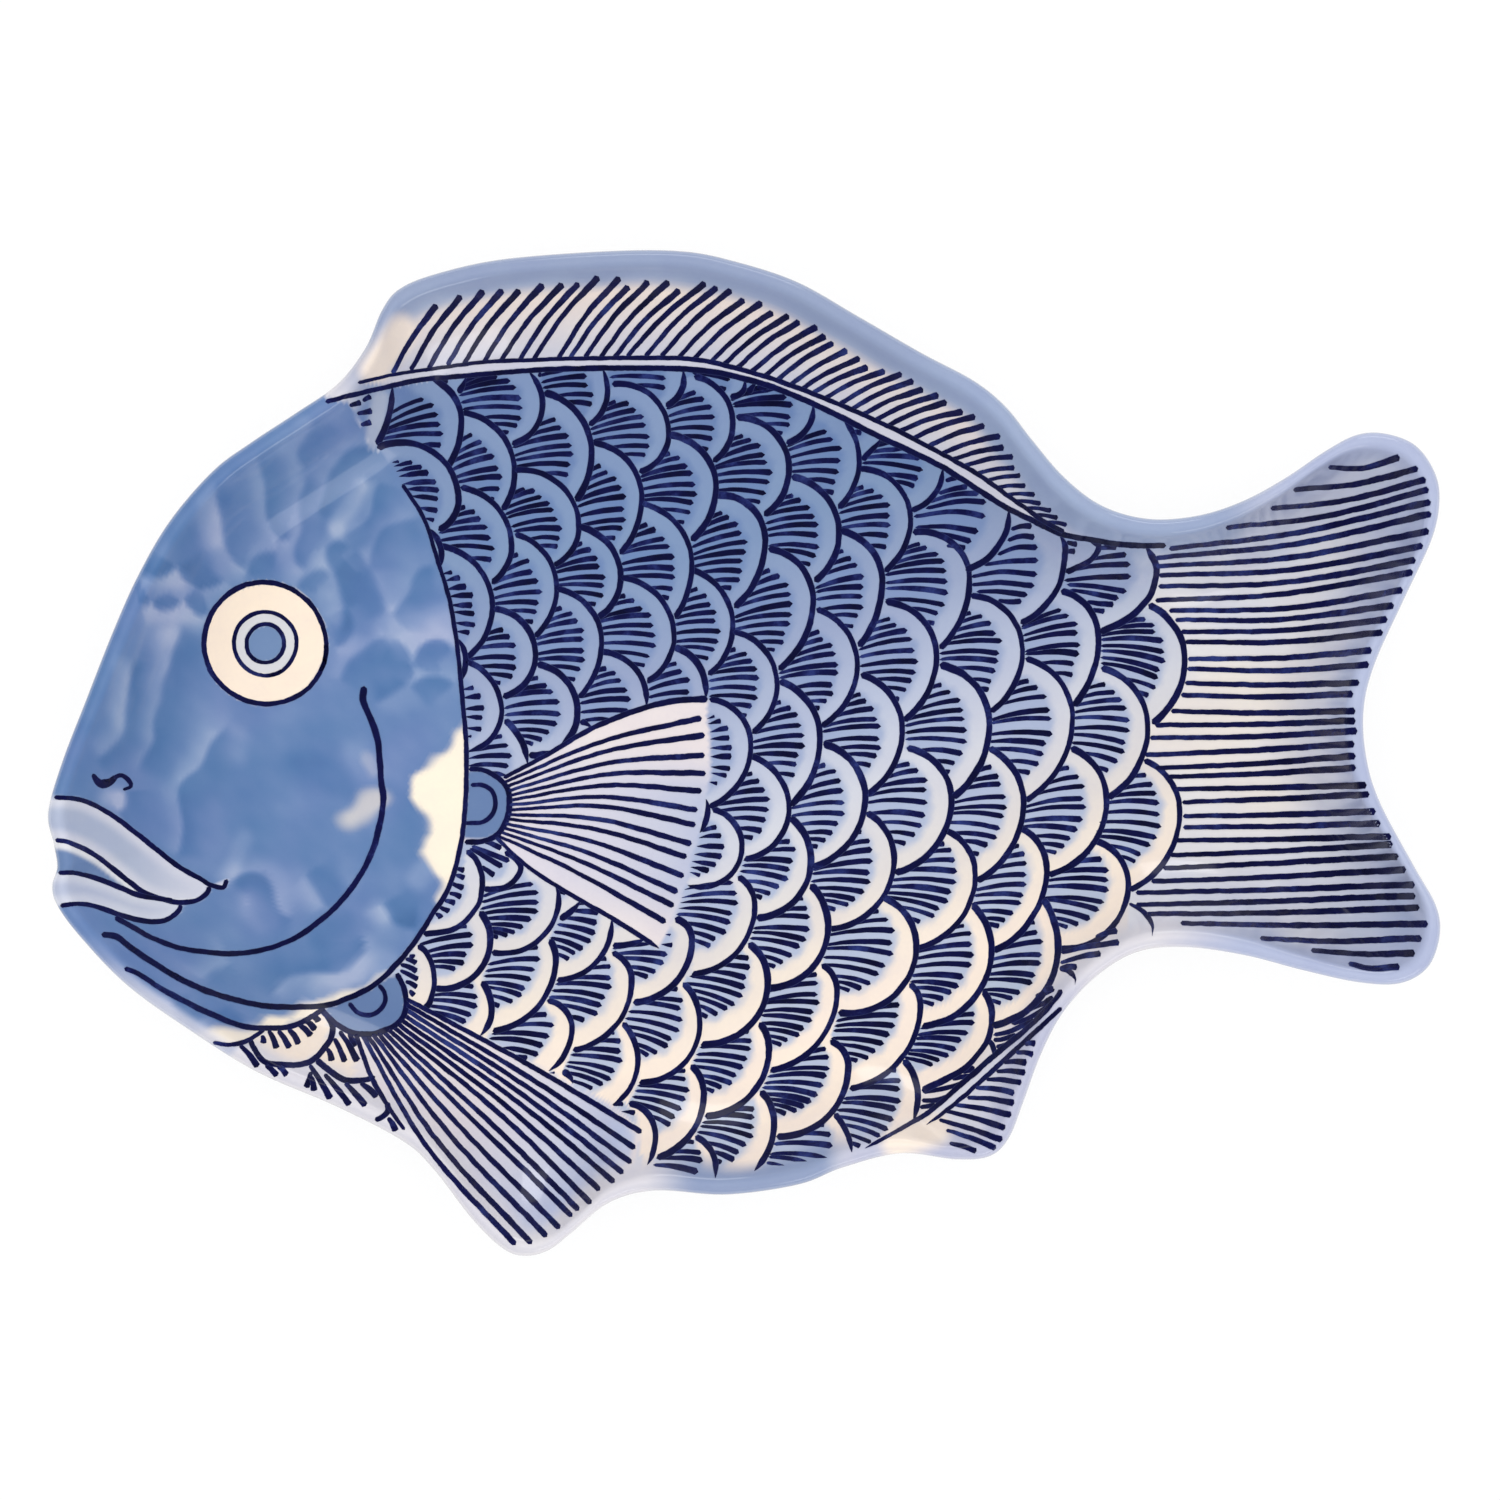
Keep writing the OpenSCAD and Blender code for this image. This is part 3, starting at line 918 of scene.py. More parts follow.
@dataclass
class Brushwork:
    """Gathers the strokes of one piece and lays them on the dish as thin closed ribbons.

    A path of fewer points than sparse is smoothed. A clipped one is tested at as many as dense.
    """

    name: str
    finish: CobaltFinish = field(default_factory=CobaltFinish)
    samples: int = 12
    sparse: int = 12
    dense: int = 80
    pitch: float = 2.0
    lift: float = 0.00008
    sink: float = 0.00012
    overlap: float = 0.00002
    wobble: float = 0.35
    uneven: float = 0.10
    taper_length: float = 12.0
    least_width: float = 0.3

    def __post_init__(self) -> None:
        """Start with no stroke and with draws that are this piece's own."""
        self.draw = np.random.default_rng(SEED + sum(map(ord, self.name)))
        self.paths: list[np.ndarray] = []
        self.widths: list[np.ndarray] = []
        self.loads: list[np.ndarray] = []

    def stroke(self, points: Row | np.ndarray, widths: tuple | np.ndarray = (4.5, 5, 4.5),
               load: float = 0.6, blunt: bool = False, taper: tuple[bool, bool] = (False, False),
               closed: bool = False) -> None:
        """Add one stroke.

        The half width follows the three widths along the stroke, with a little unevenness, and
        closes to a rounded end over its own length, or to a point over a taper.

        Args:
            points: places that the stroke passes through, on the drawing grid.
            widths: full width at the start, the middle and the end.
            load: how full the brush is, from 0 to 1.
            blunt: whether the end is cut square.
            taper: whether the start, and the end, run out to a point.
            closed: whether the stroke goes round to its start.
        """
        path = places(points)
        if len(path) < self.sparse:
            path = curve_through(path, closed)
        if closed:
            path = np.vstack((path, path[:4]))
        length = np.linalg.norm(np.diff(path, axis=0), axis=1).sum()
        if length < 3:
            return
        count = max(self.samples, math.ceil(length / self.pitch))
        end = 0.5 * min(1.0, 40 / length)
        t = np.linspace(0, 1, count)
        t = t * (1 - end) + end * (1 - np.cos(t * math.pi)) / 2
        place = along(path, t)
        place = place + np.stack([self._drift(len(t), self.wobble) for _ in range(2)], axis=-1)
        width = np.interp(t, (0, 0.5, 1), widths)
        width = width * (1 + self.uneven * self._drift(len(t), 1))
        for far, tapered, square in ((t * length, taper[0], False),
                                     ((1 - t) * length, taper[1], blunt)):
            reach = self.taper_length if tapered else np.maximum(width * (0.22 if square else 0.5), 0.6)
            near = np.clip(far / reach, 0, 1)
            width = width * (near**0.7 if tapered else np.sqrt(np.maximum(1 - (1 - near)**2, 0)))
        pooled = load + 0.16 * (t - 0.5) + 0.10 * np.sin(t * 9 + self.draw.uniform(0, 6))
        self.paths.append(to_metres(place))
        self.widths.append(np.maximum(width, self.least_width) / 2 * GRID_UNIT[0])
        self.loads.append(np.clip(pooled, 0, 1))

    def _drift(self, count: int, size: float) -> np.ndarray:
        """Uneven row of numbers, each the mean of five draws."""
        return np.convolve(self.draw.normal(0, size, count + 4), np.ones(5) / 5, "valid")

    def clipped(self, path: np.ndarray, widths: np.ndarray, allowed: object, load: float = 0.6,
                blunt: bool = False) -> None:
        """Add the parts of a stroke that lie in an allowed field, pointed where they are cut."""
        dense = along(path, np.linspace(0, 1, self.dense))
        keep = allowed(dense)
        edges = np.flatnonzero(np.diff(np.concatenate(([0], keep.astype(int), [0]))))
        for first, last in zip(edges[::2], edges[1::2]):
            if last - first < 5:
                continue
            share = np.array((first, (first + last) / 2, last - 1)) / (self.dense - 1)
            self.stroke(dense[first:last], np.interp(share, (0, 0.5, 1), widths), load,
                        blunt and last == self.dense, (first > 0, last < self.dense))

    def build(self, dish: bpy.types.Object) -> bpy.types.Object:
        """Lay the strokes on the dish and close them below.

        Each stroke is five points across and many along. The points fall straight down on the
        dish, rise by the lift, and a second layer below them closes the ribbon.

        Args:
            dish: the dish that carries them.

        Returns:
            The piece.
        """
        verts, faces, smooth, loads, edges = [], [], [], [], []
        across = np.array((-1, -0.82, 0, 0.82, 1))
        total = 0
        order = self.draw.permutation(len(self.paths))
        for rank, n in enumerate(order):
            path, half, load = self.paths[n], self.widths[n], self.loads[n]
            count = len(path)
            way = np.gradient(path, axis=0)
            way /= np.maximum(np.linalg.norm(way, axis=1), 1e-9)[:, None]
            side = np.column_stack((-way[:, 1], way[:, 0]))
            plan = path[:, None] + side[:, None] * (half[:, None] * across)[..., None]
            rise = self.overlap * rank / max(len(order), 1)
            height = np.full(plan.shape[:2] + (1,), FALL_FROM + rise)
            verts.append(np.concatenate((plan, height), axis=2).reshape(-1, 3))
            loads.append(np.repeat(load, 5))
            edges.append(np.tile(np.abs(across), count))
            self._faces(count, total, faces, smooth)
            total += count * 5
        top = self._drop(np.vstack(verts), dish)
        rank_lift = np.concatenate([np.full(len(v), v[0, 2] - FALL_FROM) for v in verts])
        top[:, 2] += self.lift + rank_lift
        under = top - (0, 0, self.sink + self.lift)
        every = np.vstack((top, under))
        quads = np.vstack(faces)
        quads = np.where(quads >= LOWER_LAYER, quads - LOWER_LAYER + total, quads)
        return make_mesh(self.name, every, quads, np.concatenate(smooth), self.finish.material(),
                         {"load": np.tile(np.concatenate(loads), 2),
                          "edge": np.tile(np.concatenate(edges), 2)})

    @staticmethod
    def _faces(count: int, base: int, faces: list, smooth: list) -> None:
        """Add the faces of one ribbon, and whether each is smooth, to the lists."""
        grid = np.arange(count * 5).reshape(count, 5) + base
        a, b, c, d = grid[:-1, :-1], grid[1:, :-1], grid[1:, 1:], grid[:-1, 1:]
        up = np.stack((a, b, c, d), axis=-1).reshape(-1, 4)
        down = np.stack((a, d, c, b), axis=-1).reshape(-1, 4) + LOWER_LAYER
        ring = np.concatenate((grid[:, 0], grid[-1, 1:], grid[:-1, 4][::-1], grid[0, 1:4][::-1]))
        after = np.roll(ring, -1)
        wall = np.stack((ring, ring + LOWER_LAYER, after + LOWER_LAYER, after), axis=-1)
        faces.extend((up, down, wall))
        smooth.append(np.concatenate((np.ones(len(up) + len(down), bool),
                                      np.zeros(len(wall), bool))))

    @staticmethod
    def _drop(points: np.ndarray, dish: bpy.types.Object) -> np.ndarray:
        """Let points fall straight down on the dish with a Shrinkwrap modifier."""
        mesh = bpy.data.meshes.new("falling")
        mesh.vertices.add(len(points))
        mesh.vertices.foreach_set("co", points.astype(np.float32).ravel())
        falling = bpy.data.objects.new("falling", mesh)
        bpy.context.scene.collection.objects.link(falling)
        wrap = falling.modifiers.new("fall", "SHRINKWRAP")
        wrap.target, wrap.wrap_method = dish, "PROJECT"
        wrap.use_project_z, wrap.use_negative_direction, wrap.use_positive_direction = True, True, False
        found = falling.evaluated_get(bpy.context.evaluated_depsgraph_get()).to_mesh()
        landed = np.empty(len(points) * 3, np.float32)
        found.vertices.foreach_get("co", landed)
        bpy.data.objects.remove(falling)
        bpy.data.meshes.remove(mesh)
        landed = landed.reshape(-1, 3).astype(float)
        lost = landed[:, 2] > MISSED_ABOVE
        if lost.any():
            log.warning("%d stroke points miss the dish", int(lost.sum()))
            ribs = landed.reshape(-1, 5, 3)
            middle = np.repeat(ribs[:, 2, 2], 5)
            landed[lost, 2] = np.where(middle[lost] < MISSED_ABOVE, middle[lost], LIP_TOP)
        return landed


def make_mesh(name: str, verts: np.ndarray, faces: np.ndarray, smooth: np.ndarray | bool,
              material: bpy.types.Material, values: dict[str, np.ndarray] | None = None
              ) -> bpy.types.Object:
    """Make a mesh object from whole arrays.

    Args:
        name: the object's name.
        verts: places in metres.
        faces: rows of corners, all of the same number.
        smooth: whether each face is shaded smooth.
        material: its one material.
        values: numbers, or linear colours, at each vertex by name.

    Returns:
        The object, linked to the scene.
    """
    mesh = bpy.data.meshes.new(name)
    sides = faces.shape[1]
    mesh.vertices.add(len(verts))
    mesh.vertices.foreach_set("co", verts.astype(np.float32).ravel())
    mesh.loops.add(faces.size)
    mesh.loops.foreach_set("vertex_index", faces.astype(np.int32).ravel())
    mesh.polygons.add(len(faces))
    mesh.polygons.foreach_set("loop_start", np.arange(0, faces.size, sides, dtype=np.int32))
    mesh.polygons.foreach_set("use_smooth", np.broadcast_to(smooth, len(faces)).astype(bool))
    mesh.update(calc_edges=True)
    for key, value in (values or {}).items():
        colour = value.ndim == 2
        layer = mesh.attributes.new(key, "FLOAT_COLOR" if colour else "FLOAT", "POINT")
        if colour:
            value = np.column_stack((value, np.ones(len(value))))
        layer.data.foreach_set("color" if colour else "value", value.astype(np.float32).ravel())
    mesh.materials.append(material)
    piece = bpy.data.objects.new(name, mesh)
    bpy.context.scene.collection.objects.link(piece)
    return piece


@dataclass
class TailFin:
    """Rays of the tail, each from the last scales towards the fork, blunt at its far end."""

    ray_widths: tuple = (4.6, 5.7, 7.0)
    hook: Row = (1128, 903, 1143, 912, 1150, 924, 1150, 935)
    hook_widths: tuple = (3, 6, 2)
    rays: Row = (
        1325, 469, 1396, 459, 1290, 491, 1414, 470, 1268, 510, 1422, 481, 1223, 529, 1425, 491, 1167,
        550, 1427, 503, 1153, 559, 1430, 515, 1154, 567, 1430, 532, 1157, 576, 1424, 547, 1157, 587,
        1417, 561, 1154, 601, 1414, 573, 1168, 611, 1404, 591, 1174, 620, 1395, 606, 1180, 632, 1389,
        620, 1184, 642, 1384, 633, 1187, 659, 1372, 651, 1186, 669, 1368, 665, 1184, 683, 1357, 683,
        1180, 695, 1351, 694, 1170, 711, 1353, 711, 1154, 725, 1353, 721, 1149, 738, 1355, 731, 1144,
        755, 1352, 744, 1154, 768, 1353, 756, 1167, 777, 1353, 768, 1175, 789, 1364, 785, 1181, 802,
        1367, 794, 1182, 816, 1373, 811, 1182, 827, 1378, 823, 1175, 840, 1389, 836, 1169, 855, 1390,
        844, 1162, 868, 1396, 856, 1150, 881, 1403, 869, 1134, 892, 1412, 884, 1134, 904, 1413, 895,
        1145, 913, 1417, 907, 1178, 922, 1425, 923, 1257, 937, 1419, 937, 1308, 949, 1412, 952, 1345,
        962, 1397, 965)

    def paint(self, brush: Brushwork) -> None:
        """Draw the rays: the upper ones curve up towards their ends and the lower ones down."""
        for a, b in lines_of(self.rays):
            b[0] -= np.interp(b[1], (500, 530, 640, 680), (0, 5, 5, 1))
            lean = (a[1] + b[1]) / 2
            sag = np.interp(lean, (480, 560, 690, 860, 940), (5, 9, 2, 1, 3))
            middle = (a + b) / 2 + (brush.draw.uniform(-3, 3), sag + brush.draw.uniform(-0.8, 0.8))
            brush.stroke((a, middle, b), self.ray_widths, brush.draw.uniform(0.5, 0.8), True)
        brush.stroke(self.hook, self.hook_widths, 0.6, taper=(False, True))


@dataclass
class BackFin:
    """Two lines along the back and the row of slanting rays that stand on them."""

    ray_widths: tuple = (4.6, 5.2, 6.8)
    low_widths: tuple = (4.8, 6, 5.6)
    high_widths: tuple = (3.4, 5, 4.6)
    upper_line: Row = (
        360, 385, 393, 377, 441, 369, 490, 363, 562, 360, 635, 359, 698, 361, 760, 376, 816, 396, 872,
        420, 917, 442, 973, 473, 1013, 501, 1041, 521, 1063, 533)
    rays: Row = (
        394, 376, 438, 308, 412, 372, 463, 298, 429, 371, 485, 293, 448, 367, 503, 293, 464, 366, 522,
        291, 484, 364, 545, 286, 501, 363, 565, 285, 519, 363, 581, 284, 534, 361, 598, 281, 558, 361,
        621, 279, 570, 360, 629, 289, 585, 359, 650, 283, 600, 359, 670, 283, 614, 359, 681, 291, 627,
        358, 705, 286, 645, 358, 719, 288, 661, 358, 732, 292, 678, 359, 745, 301, 693, 361, 760, 306,
        711, 363, 774, 313, 722, 367, 787, 319, 736, 370, 800, 323, 750, 374, 818, 328, 763, 378, 826,
        337, 776, 382, 834, 344, 789, 387, 847, 352, 800, 391, 858, 361, 811, 395, 867, 369, 823, 400,
        884, 373, 838, 406, 901, 376, 850, 411, 912, 383, 861, 416, 922, 391, 873, 422, 937, 397, 885,
        428, 946, 404, 897, 433, 962, 413, 911, 440, 974, 418, 926, 448, 985, 427, 940, 455, 998, 438,
        950, 461, 1002, 449, 962, 467, 1012, 458, 974, 475, 1014, 469, 984, 482, 1019, 477, 994, 489,
        1025, 487, 1004, 496, 1034, 496, 1013, 502, 1039, 505, 1022, 509, 1050, 512, 1032, 516, 1057,
        519, 1044, 523, 1065, 526)

    def paint_lines(self, brush: Brushwork, limits: Limits) -> None:
        """Draw the lower line, thick over the middle, and the thinner upper one."""
        brush.stroke(curve_through(limits.back_line), self.low_widths, 0.75)
        brush.stroke(curve_through(self.upper_line), self.high_widths, 0.7)

    def paint_rays(self, brush: Brushwork) -> None:
        """Draw the rays, slightly bent, thin at the base and cut square at the tip."""
        for a, b in lines_of(self.rays):
            way = b - a
            middle = a + way * 0.5 + np.array((-way[1], way[0])) * -0.04
            end = b + way * brush.draw.uniform(-0.02, 0.03)
            full = np.interp(np.linalg.norm(way), (22, 60), (0.72, 1))
            brush.stroke((a, middle, end), np.array(self.ray_widths) * full,
                         brush.draw.uniform(0.5, 0.78), True)


@dataclass
class JointedFin:
    """Fin whose rays fan out from a round joint with a smaller ring in it."""

    joint: Row = ()
    joint_ring: Row = ()
    joint_widths: tuple = (5, 6.2, 5.2)
    ring_widths: tuple = (4.4, 5, 4.2)

    def paint_joint(self, brush: Brushwork) -> None:
        """Draw the joint and its ring."""
        brush.stroke(self.joint, self.joint_widths, 0.75)
        brush.stroke(self.joint_ring, self.ring_widths, 0.65)


@dataclass
class BreastFin(JointedFin):
    """Fan of long rays from a round joint on the gill."""

    ray_widths: tuple = (3.2, 4.6, 6.2)
    joint: Row = (
        469, 769, 483, 770, 499, 778, 508, 789, 510, 803, 507, 819, 499, 833, 485, 841, 465, 842)
    joint_ring: Row = (471, 785, 483, 785, 493, 792, 496, 803, 493, 814, 483, 822, 462, 823)

    def paint(self, brush: Brushwork, limits: Limits) -> None:
        """Draw the joint's two rings, the fin's edges and thirteen rays, bowed upwards."""
        self.paint_joint(brush)
        brush.stroke(limits.breast_top, (4, 5.6, 7), 0.75)
        brush.stroke(limits.breast_low, (3.8, 4.6, 5.5), 0.7, taper=(False, True))
        ring = curve_through(self.joint)
        ends = places(limits.breast_ends)
        shares = np.linspace(0.30, 0.74, len(ends))
        starts = along(ring, shares)
        for start, end, share in zip(starts, ends, np.linspace(0, 1, len(ends))):
            way = end - start
            bow = np.interp(share, (0, 0.5, 1), (9, 11, 4))
            middle = start + way * 0.5 + (0, -bow)
            brush.stroke((start, middle, end), self.ray_widths, brush.draw.uniform(0.5, 0.75))


@dataclass
class BellyFin(JointedFin):
    """Fan of long straight rays from a round joint under the gill."""

    ray_widths: tuple = (4.4, 5, 6)
    joint: Row = (
        324, 1010, 339, 1024, 356, 1032, 373, 1033, 390, 1028, 402, 1019, 407, 1005, 405, 988, 399, 976,
        396, 974)
    joint_ring: Row = (350, 1002, 358, 1011, 370, 1015, 380, 1010, 386, 1001, 385, 991, 379, 984)
    ends: Row = (
        642, 1131, 636, 1147, 632, 1161, 624, 1171, 615, 1180, 601, 1188, 592, 1201, 580, 1208, 573,
        1214, 561, 1226, 548, 1234, 533, 1241, 517, 1242)
    short_ray: Row = (357, 1033, 372, 1073, 390, 1104, 407, 1128)

    def paint(self, brush: Brushwork) -> None:
        """Draw the joint, the rays to the tip and the short one beside them."""
        self.paint_joint(brush)
        ring = curve_through(self.joint)
        ends = places(self.ends)
        starts = along(ring, np.linspace(0.80, 0.335, len(ends)))
        for number, (start, end) in enumerate(zip(starts, ends)):
            way = end - start
            side = np.array((way[1], -way[0]))
            bow = np.interp(number, (0, 6, 12), (0.01, 0.02, -0.05))
            brush.stroke((start, start + way * 0.5 + side * bow, end), self.ray_widths,
                         brush.draw.uniform(0.5, 0.72))
        brush.stroke(self.short_ray, (4.4, 5.2, 3.6), 0.66)


@dataclass
class AnalFin:
    """Two lines and the short rays of the fin below the tail's root."""

    ray_widths: tuple = (3.6, 5.4, 6.6)
    hook: Row = (1058, 968, 1067, 970, 1073, 977, 1073, 983)
    hook_widths: tuple = (4, 6, 2)
    second_line: Row = (926, 1123, 948, 1107, 975, 1084, 1010, 1052, 1040, 1024, 1060, 1006)
    rays: Row = (
        1023, 1043, 1034, 1042, 1014, 1051, 1032, 1053, 1002, 1061, 1025, 1061, 995, 1070, 1024, 1071,
        985, 1078, 1020, 1081, 974, 1086, 1013, 1091, 966, 1096, 1013, 1101, 953, 1103, 1010, 1113, 943,
        1109, 1004, 1126, 938, 1118, 1001, 1138, 945, 1128, 995, 1146, 948, 1141, 975, 1149)
    dashes: Row = (
        1094, 936, 1116, 930, 1060, 952, 1117, 941, 1059, 962, 1099, 952, 1058, 967, 1075, 966, 1042,
        990, 1052, 988, 1040, 1004, 1052, 997)

    def paint(self, brush: Brushwork, limits: Limits) -> None:
        """Draw the lines, the rays and the few dashes that lead to the tail."""
        brush.stroke(limits.anal_line, (3.5, 6, 5), 0.75, taper=(True, False))
        brush.stroke(self.second_line, (3.5, 5.2, 4.6), 0.7, taper=(True, False))
        for a, b in lines_of(self.rays + self.dashes):
            brush.stroke((a, (a + b) / 2 + (0, -1.2), b), self.ray_widths,
                         brush.draw.uniform(0.5, 0.75), True)
        brush.stroke(self.hook, self.hook_widths, 0.7, taper=(False, True))


@dataclass
class Head:
    """Gill and jaw lines, lips, nostril, eye and the scales of the chin.

    The cleft between the lips ends at two points of their smooth curves. edges holds the edges of
    dabs with their force; pools and creams hold lines with their radius, and how much they thin the
    blue or cover it.
    """

    cheek: Row = (
        365, 686, 364, 700, 370, 716, 378, 739, 382, 781, 384, 797, 382, 816, 374, 848, 359, 878, 338,
        905, 315, 925, 293, 939, 265, 949, 237, 953, 212, 952, 182, 947, 155, 937, 132, 924, 118, 916)
    jaw: Row = (
        128, 967, 143, 973, 166, 988, 196, 1004, 224, 1017, 247, 1025, 270, 1027, 293, 1025, 311, 1017,
        326, 1007)
    jaw_short: Row = (216, 1041, 231, 1043, 247, 1040, 260, 1033, 267, 1028)
    upper_lip: Row = (
        58, 797, 86, 800, 116, 816, 148, 841, 178, 865, 201, 878, 212, 885, 224, 887, 228, 879)
    upper_lip_low: Row = (
        59, 839, 74, 842, 97, 854, 116, 869, 132, 882, 148, 893, 169, 900, 185, 902, 198, 900, 208, 893,
        211, 886)
    lower_lip: Row = (62, 872, 77, 872, 97, 877, 120, 886, 139, 894, 159, 898, 175, 900)
    lower_lip_low: Row = (64, 905, 86, 903, 109, 909, 132, 917, 155, 921, 169, 919, 180, 911, 183, 904)
    cleft_to: tuple[int, int] = (85, 60)
    nostril: tuple = ((96, 774, 103, 783, 112, 782, 119, 776),
                      (116, 778, 123, 775, 130, 779, 133, 786, 125, 790))
    eye: tuple[float, float] = (266.3, 643.7)
    eye_rings: tuple = ((60.8, 4.8), (31.5, 3.9), (19.0, 4.0))
    edges: tuple = (
        ((221, 480, 222, 515, 227, 543, 232, 558, 239, 566, 251, 570), 1.0),
        ((260, 448, 264, 474, 268, 492, 269, 512, 273, 530, 282, 540, 295, 541), 1.0),
        ((318, 418, 311, 436, 301, 451, 300, 462, 309, 472), 0.8),
        ((388, 466, 383, 455, 369, 448, 351, 452, 337, 466, 330, 484, 320, 507, 315, 520), 0.9),
        ((311, 473, 302, 494, 301, 512, 302, 530, 296, 548, 298, 563, 310, 571), 1.0),
        ((382, 478, 376, 494, 371, 512, 358, 529, 343, 539), 0.8),
        ((425, 516, 404, 520, 386, 528, 375, 543, 370, 558, 371, 576), 0.7),
        ((356, 550, 348, 542, 338, 540, 327, 548, 327, 563, 337, 581, 344, 602, 344, 619, 336, 636), 1.0),
        ((388, 620, 383, 602, 375, 581, 365, 561, 356, 548), 0.7),
        ((334, 647, 346, 643, 352, 630, 351, 617, 346, 606), 0.8),
        ((333, 579, 323, 569, 311, 572, 301, 582, 298, 590), 0.8),
        ((438, 566, 422, 570, 413, 581, 409, 594, 399, 609, 392, 618), 0.8),
        ((457, 651, 448, 642, 436, 640, 425, 645, 416, 658, 412, 667), 1.1),
        ((456, 686, 445, 677, 430, 675, 417, 681, 408, 691), 1.0),
        ((371, 704, 389, 697, 403, 691, 413, 677, 411, 660, 403, 645, 392, 634), 0.9),
        ((391, 636, 374, 643, 358, 655, 346, 670, 339, 684), 0.8),
        ((142, 575, 157, 579, 167, 576, 174, 570, 177, 564), 1.2),
        ((177, 564, 184, 576, 193, 585, 205, 591, 218, 586, 227, 577), 1.2),
        ((142, 607, 151, 604, 156, 601), 1.0),
        ((156, 601, 162, 608, 170, 610, 178, 607, 184, 601), 1.2),
        ((184, 601, 193, 610, 203, 615, 214, 611), 1.2),
        ((137, 655, 134, 676, 132, 697, 131, 706, 124, 733, 111, 751, 95, 762), 1.0),
        ((181, 620, 180, 640, 172, 665, 163, 683, 161, 701, 157, 722, 156, 741, 146, 759, 139, 775), 1.0),
        ((230, 718, 216, 741, 203, 764, 188, 778, 181, 795, 183, 823, 182, 843, 179, 860), 1.0),
        ((296, 920, 283, 914, 276, 902, 271, 886, 263, 874, 251, 871, 239, 876, 228, 887), 1.2),
        ((304, 873, 318, 891, 328, 908), 0.8),
        ((381, 901, 387, 912, 392, 922, 405, 927, 419, 929), 1.1),
        ((268, 1001, 280, 983, 292, 976, 313, 972, 341, 972, 356, 960, 365, 945, 362, 928), 1.1),
        ((176, 990, 178, 1010, 186, 1022, 197, 1024, 205, 1012), 0.9),
        ((211, 1010, 224, 1026, 240, 1026, 252, 1014), 0.9),
        ((128, 790, 128, 805, 120, 813), 0.9),
        ((280, 553, 264, 552, 253, 561, 249, 577), 0.8),
        ((203, 984, 216, 970, 234, 960), -0.7))
    pools: tuple = (
        (178, 586, 178, 592, 18, 0.18), (160, 628, 195, 622, 24, 0.24), (400, 632, 445, 626, 26, 0.36),
        (212, 508, 214, 540, 17, 0.22), (361, 487, 338, 527, 12, 0.34), (238, 738, 236, 752, 17, 0.26),
        (112, 798, 118, 800, 15, 0.34), (296, 884, 312, 894, 22, 0.18), (254, 905, 268, 918, 20, 0.30),
        (378, 910, 382, 916, 14, 0.20), (326, 600, 330, 612, 14, 0.16), (124, 665, 122, 720, 14, 0.18),
        (170, 640, 150, 730, 16, 0.12), (245, 838, 228, 878, 12, 0.20), (215, 720, 196, 770, 22, 0.14),
        (304, 545, 312, 520, 12, 0.16), (356, 758, 368, 772, 22, 0.22), (350, 876, 352, 868, 18, 0.16),
        (320, 990, 385, 962, 20, 0.30), (325, 935, 340, 925, 20, -0.26), (300, 962, 310, 958, 16, 0.14),
        (420, 880, 424, 868, 14, 0.22), (70, 930, 170, 1012, 12, 0.16), (230, 790, 320, 740, 34, -0.12),
        (300, 765, 376, 792, 22, -0.18), (240, 830, 290, 850, 34, -0.10),
        (406, 800, 404, 850, 22, -0.14), (414, 905, 406, 925, 22, -0.14),
        (120, 610, 80, 720, 26, -0.10), (190, 545, 200, 560, 22, -0.14),
        (330, 880, 372, 850, 20, -0.10), (140, 930, 200, 955, 18, -0.06),
        (180, 520, 250, 470, 18, -0.04))
    bare: Row = (
        468, 690, 463, 728, 446, 752, 430, 763, 416, 778, 411, 798, 424, 816, 432, 834, 419, 852, 432,
        866, 442, 880, 440, 900, 480, 860, 490, 760)
    creams: tuple = (
        (352, 817, 378, 800, 18, 0.5), (368, 762, 374, 772, 11, 0.15),
        (325, 1004, 370, 990, 11, 0.85), (372, 988, 398, 970, 7, 0.6),
        (276, 1022, 318, 1011, 12, 0.98), (206, 1036, 262, 1034, 13, 0.9))
    chin_one: Row = (
        322, 1008, 330, 1017, 334, 1026, 332, 1038, 326, 1047, 318, 1056, 306, 1062, 287, 1063, 268,
        1060, 257, 1047, 253, 1038)
    chin_two: Row = (318, 1058, 333, 1070, 347, 1078, 364, 1079, 377, 1075)
    chin_three: Row = (389, 1100, 390, 1109, 384, 1115, 377, 1118)
    chin_back: Row = (372, 1060, 350, 1030, 330, 1040)
    chin_rays: Row = (
        264, 1034, 266, 1042, 271, 1029, 279, 1047, 280, 1029, 292, 1047, 290, 1027, 301, 1043, 299,
        1022, 313, 1035, 306, 1019, 317, 1029, 314, 1015, 320, 1021, 329, 1047, 334, 1060, 336, 1037,
        347, 1061, 341, 1030, 359, 1060, 350, 1032, 356, 1046, 243, 1043, 261, 1065, 268, 1063, 280,
        1074, 280, 1064, 290, 1073, 313, 1074, 317, 1089, 312, 1063, 333, 1097, 327, 1072, 352, 1103,
        347, 1081, 368, 1104, 362, 1081, 379, 1095, 390, 1115, 398, 1129, 313, 1070, 309, 1086)

    def paint_lines(self, brush: Brushwork, limits: Limits) -> None:
        """Draw the gill line and the jaw lines, blunt at their starts."""
        brush.stroke(curve_through(limits.gill), (4.2, 5.2, 6.2), 0.75)
        brush.stroke(curve_through(self.cheek), (7, 5.6, 5), 0.7)
        brush.stroke(self.jaw, (5, 6, 5), 0.66)
        brush.stroke(self.jaw_short, (4, 5, 4), 0.66)

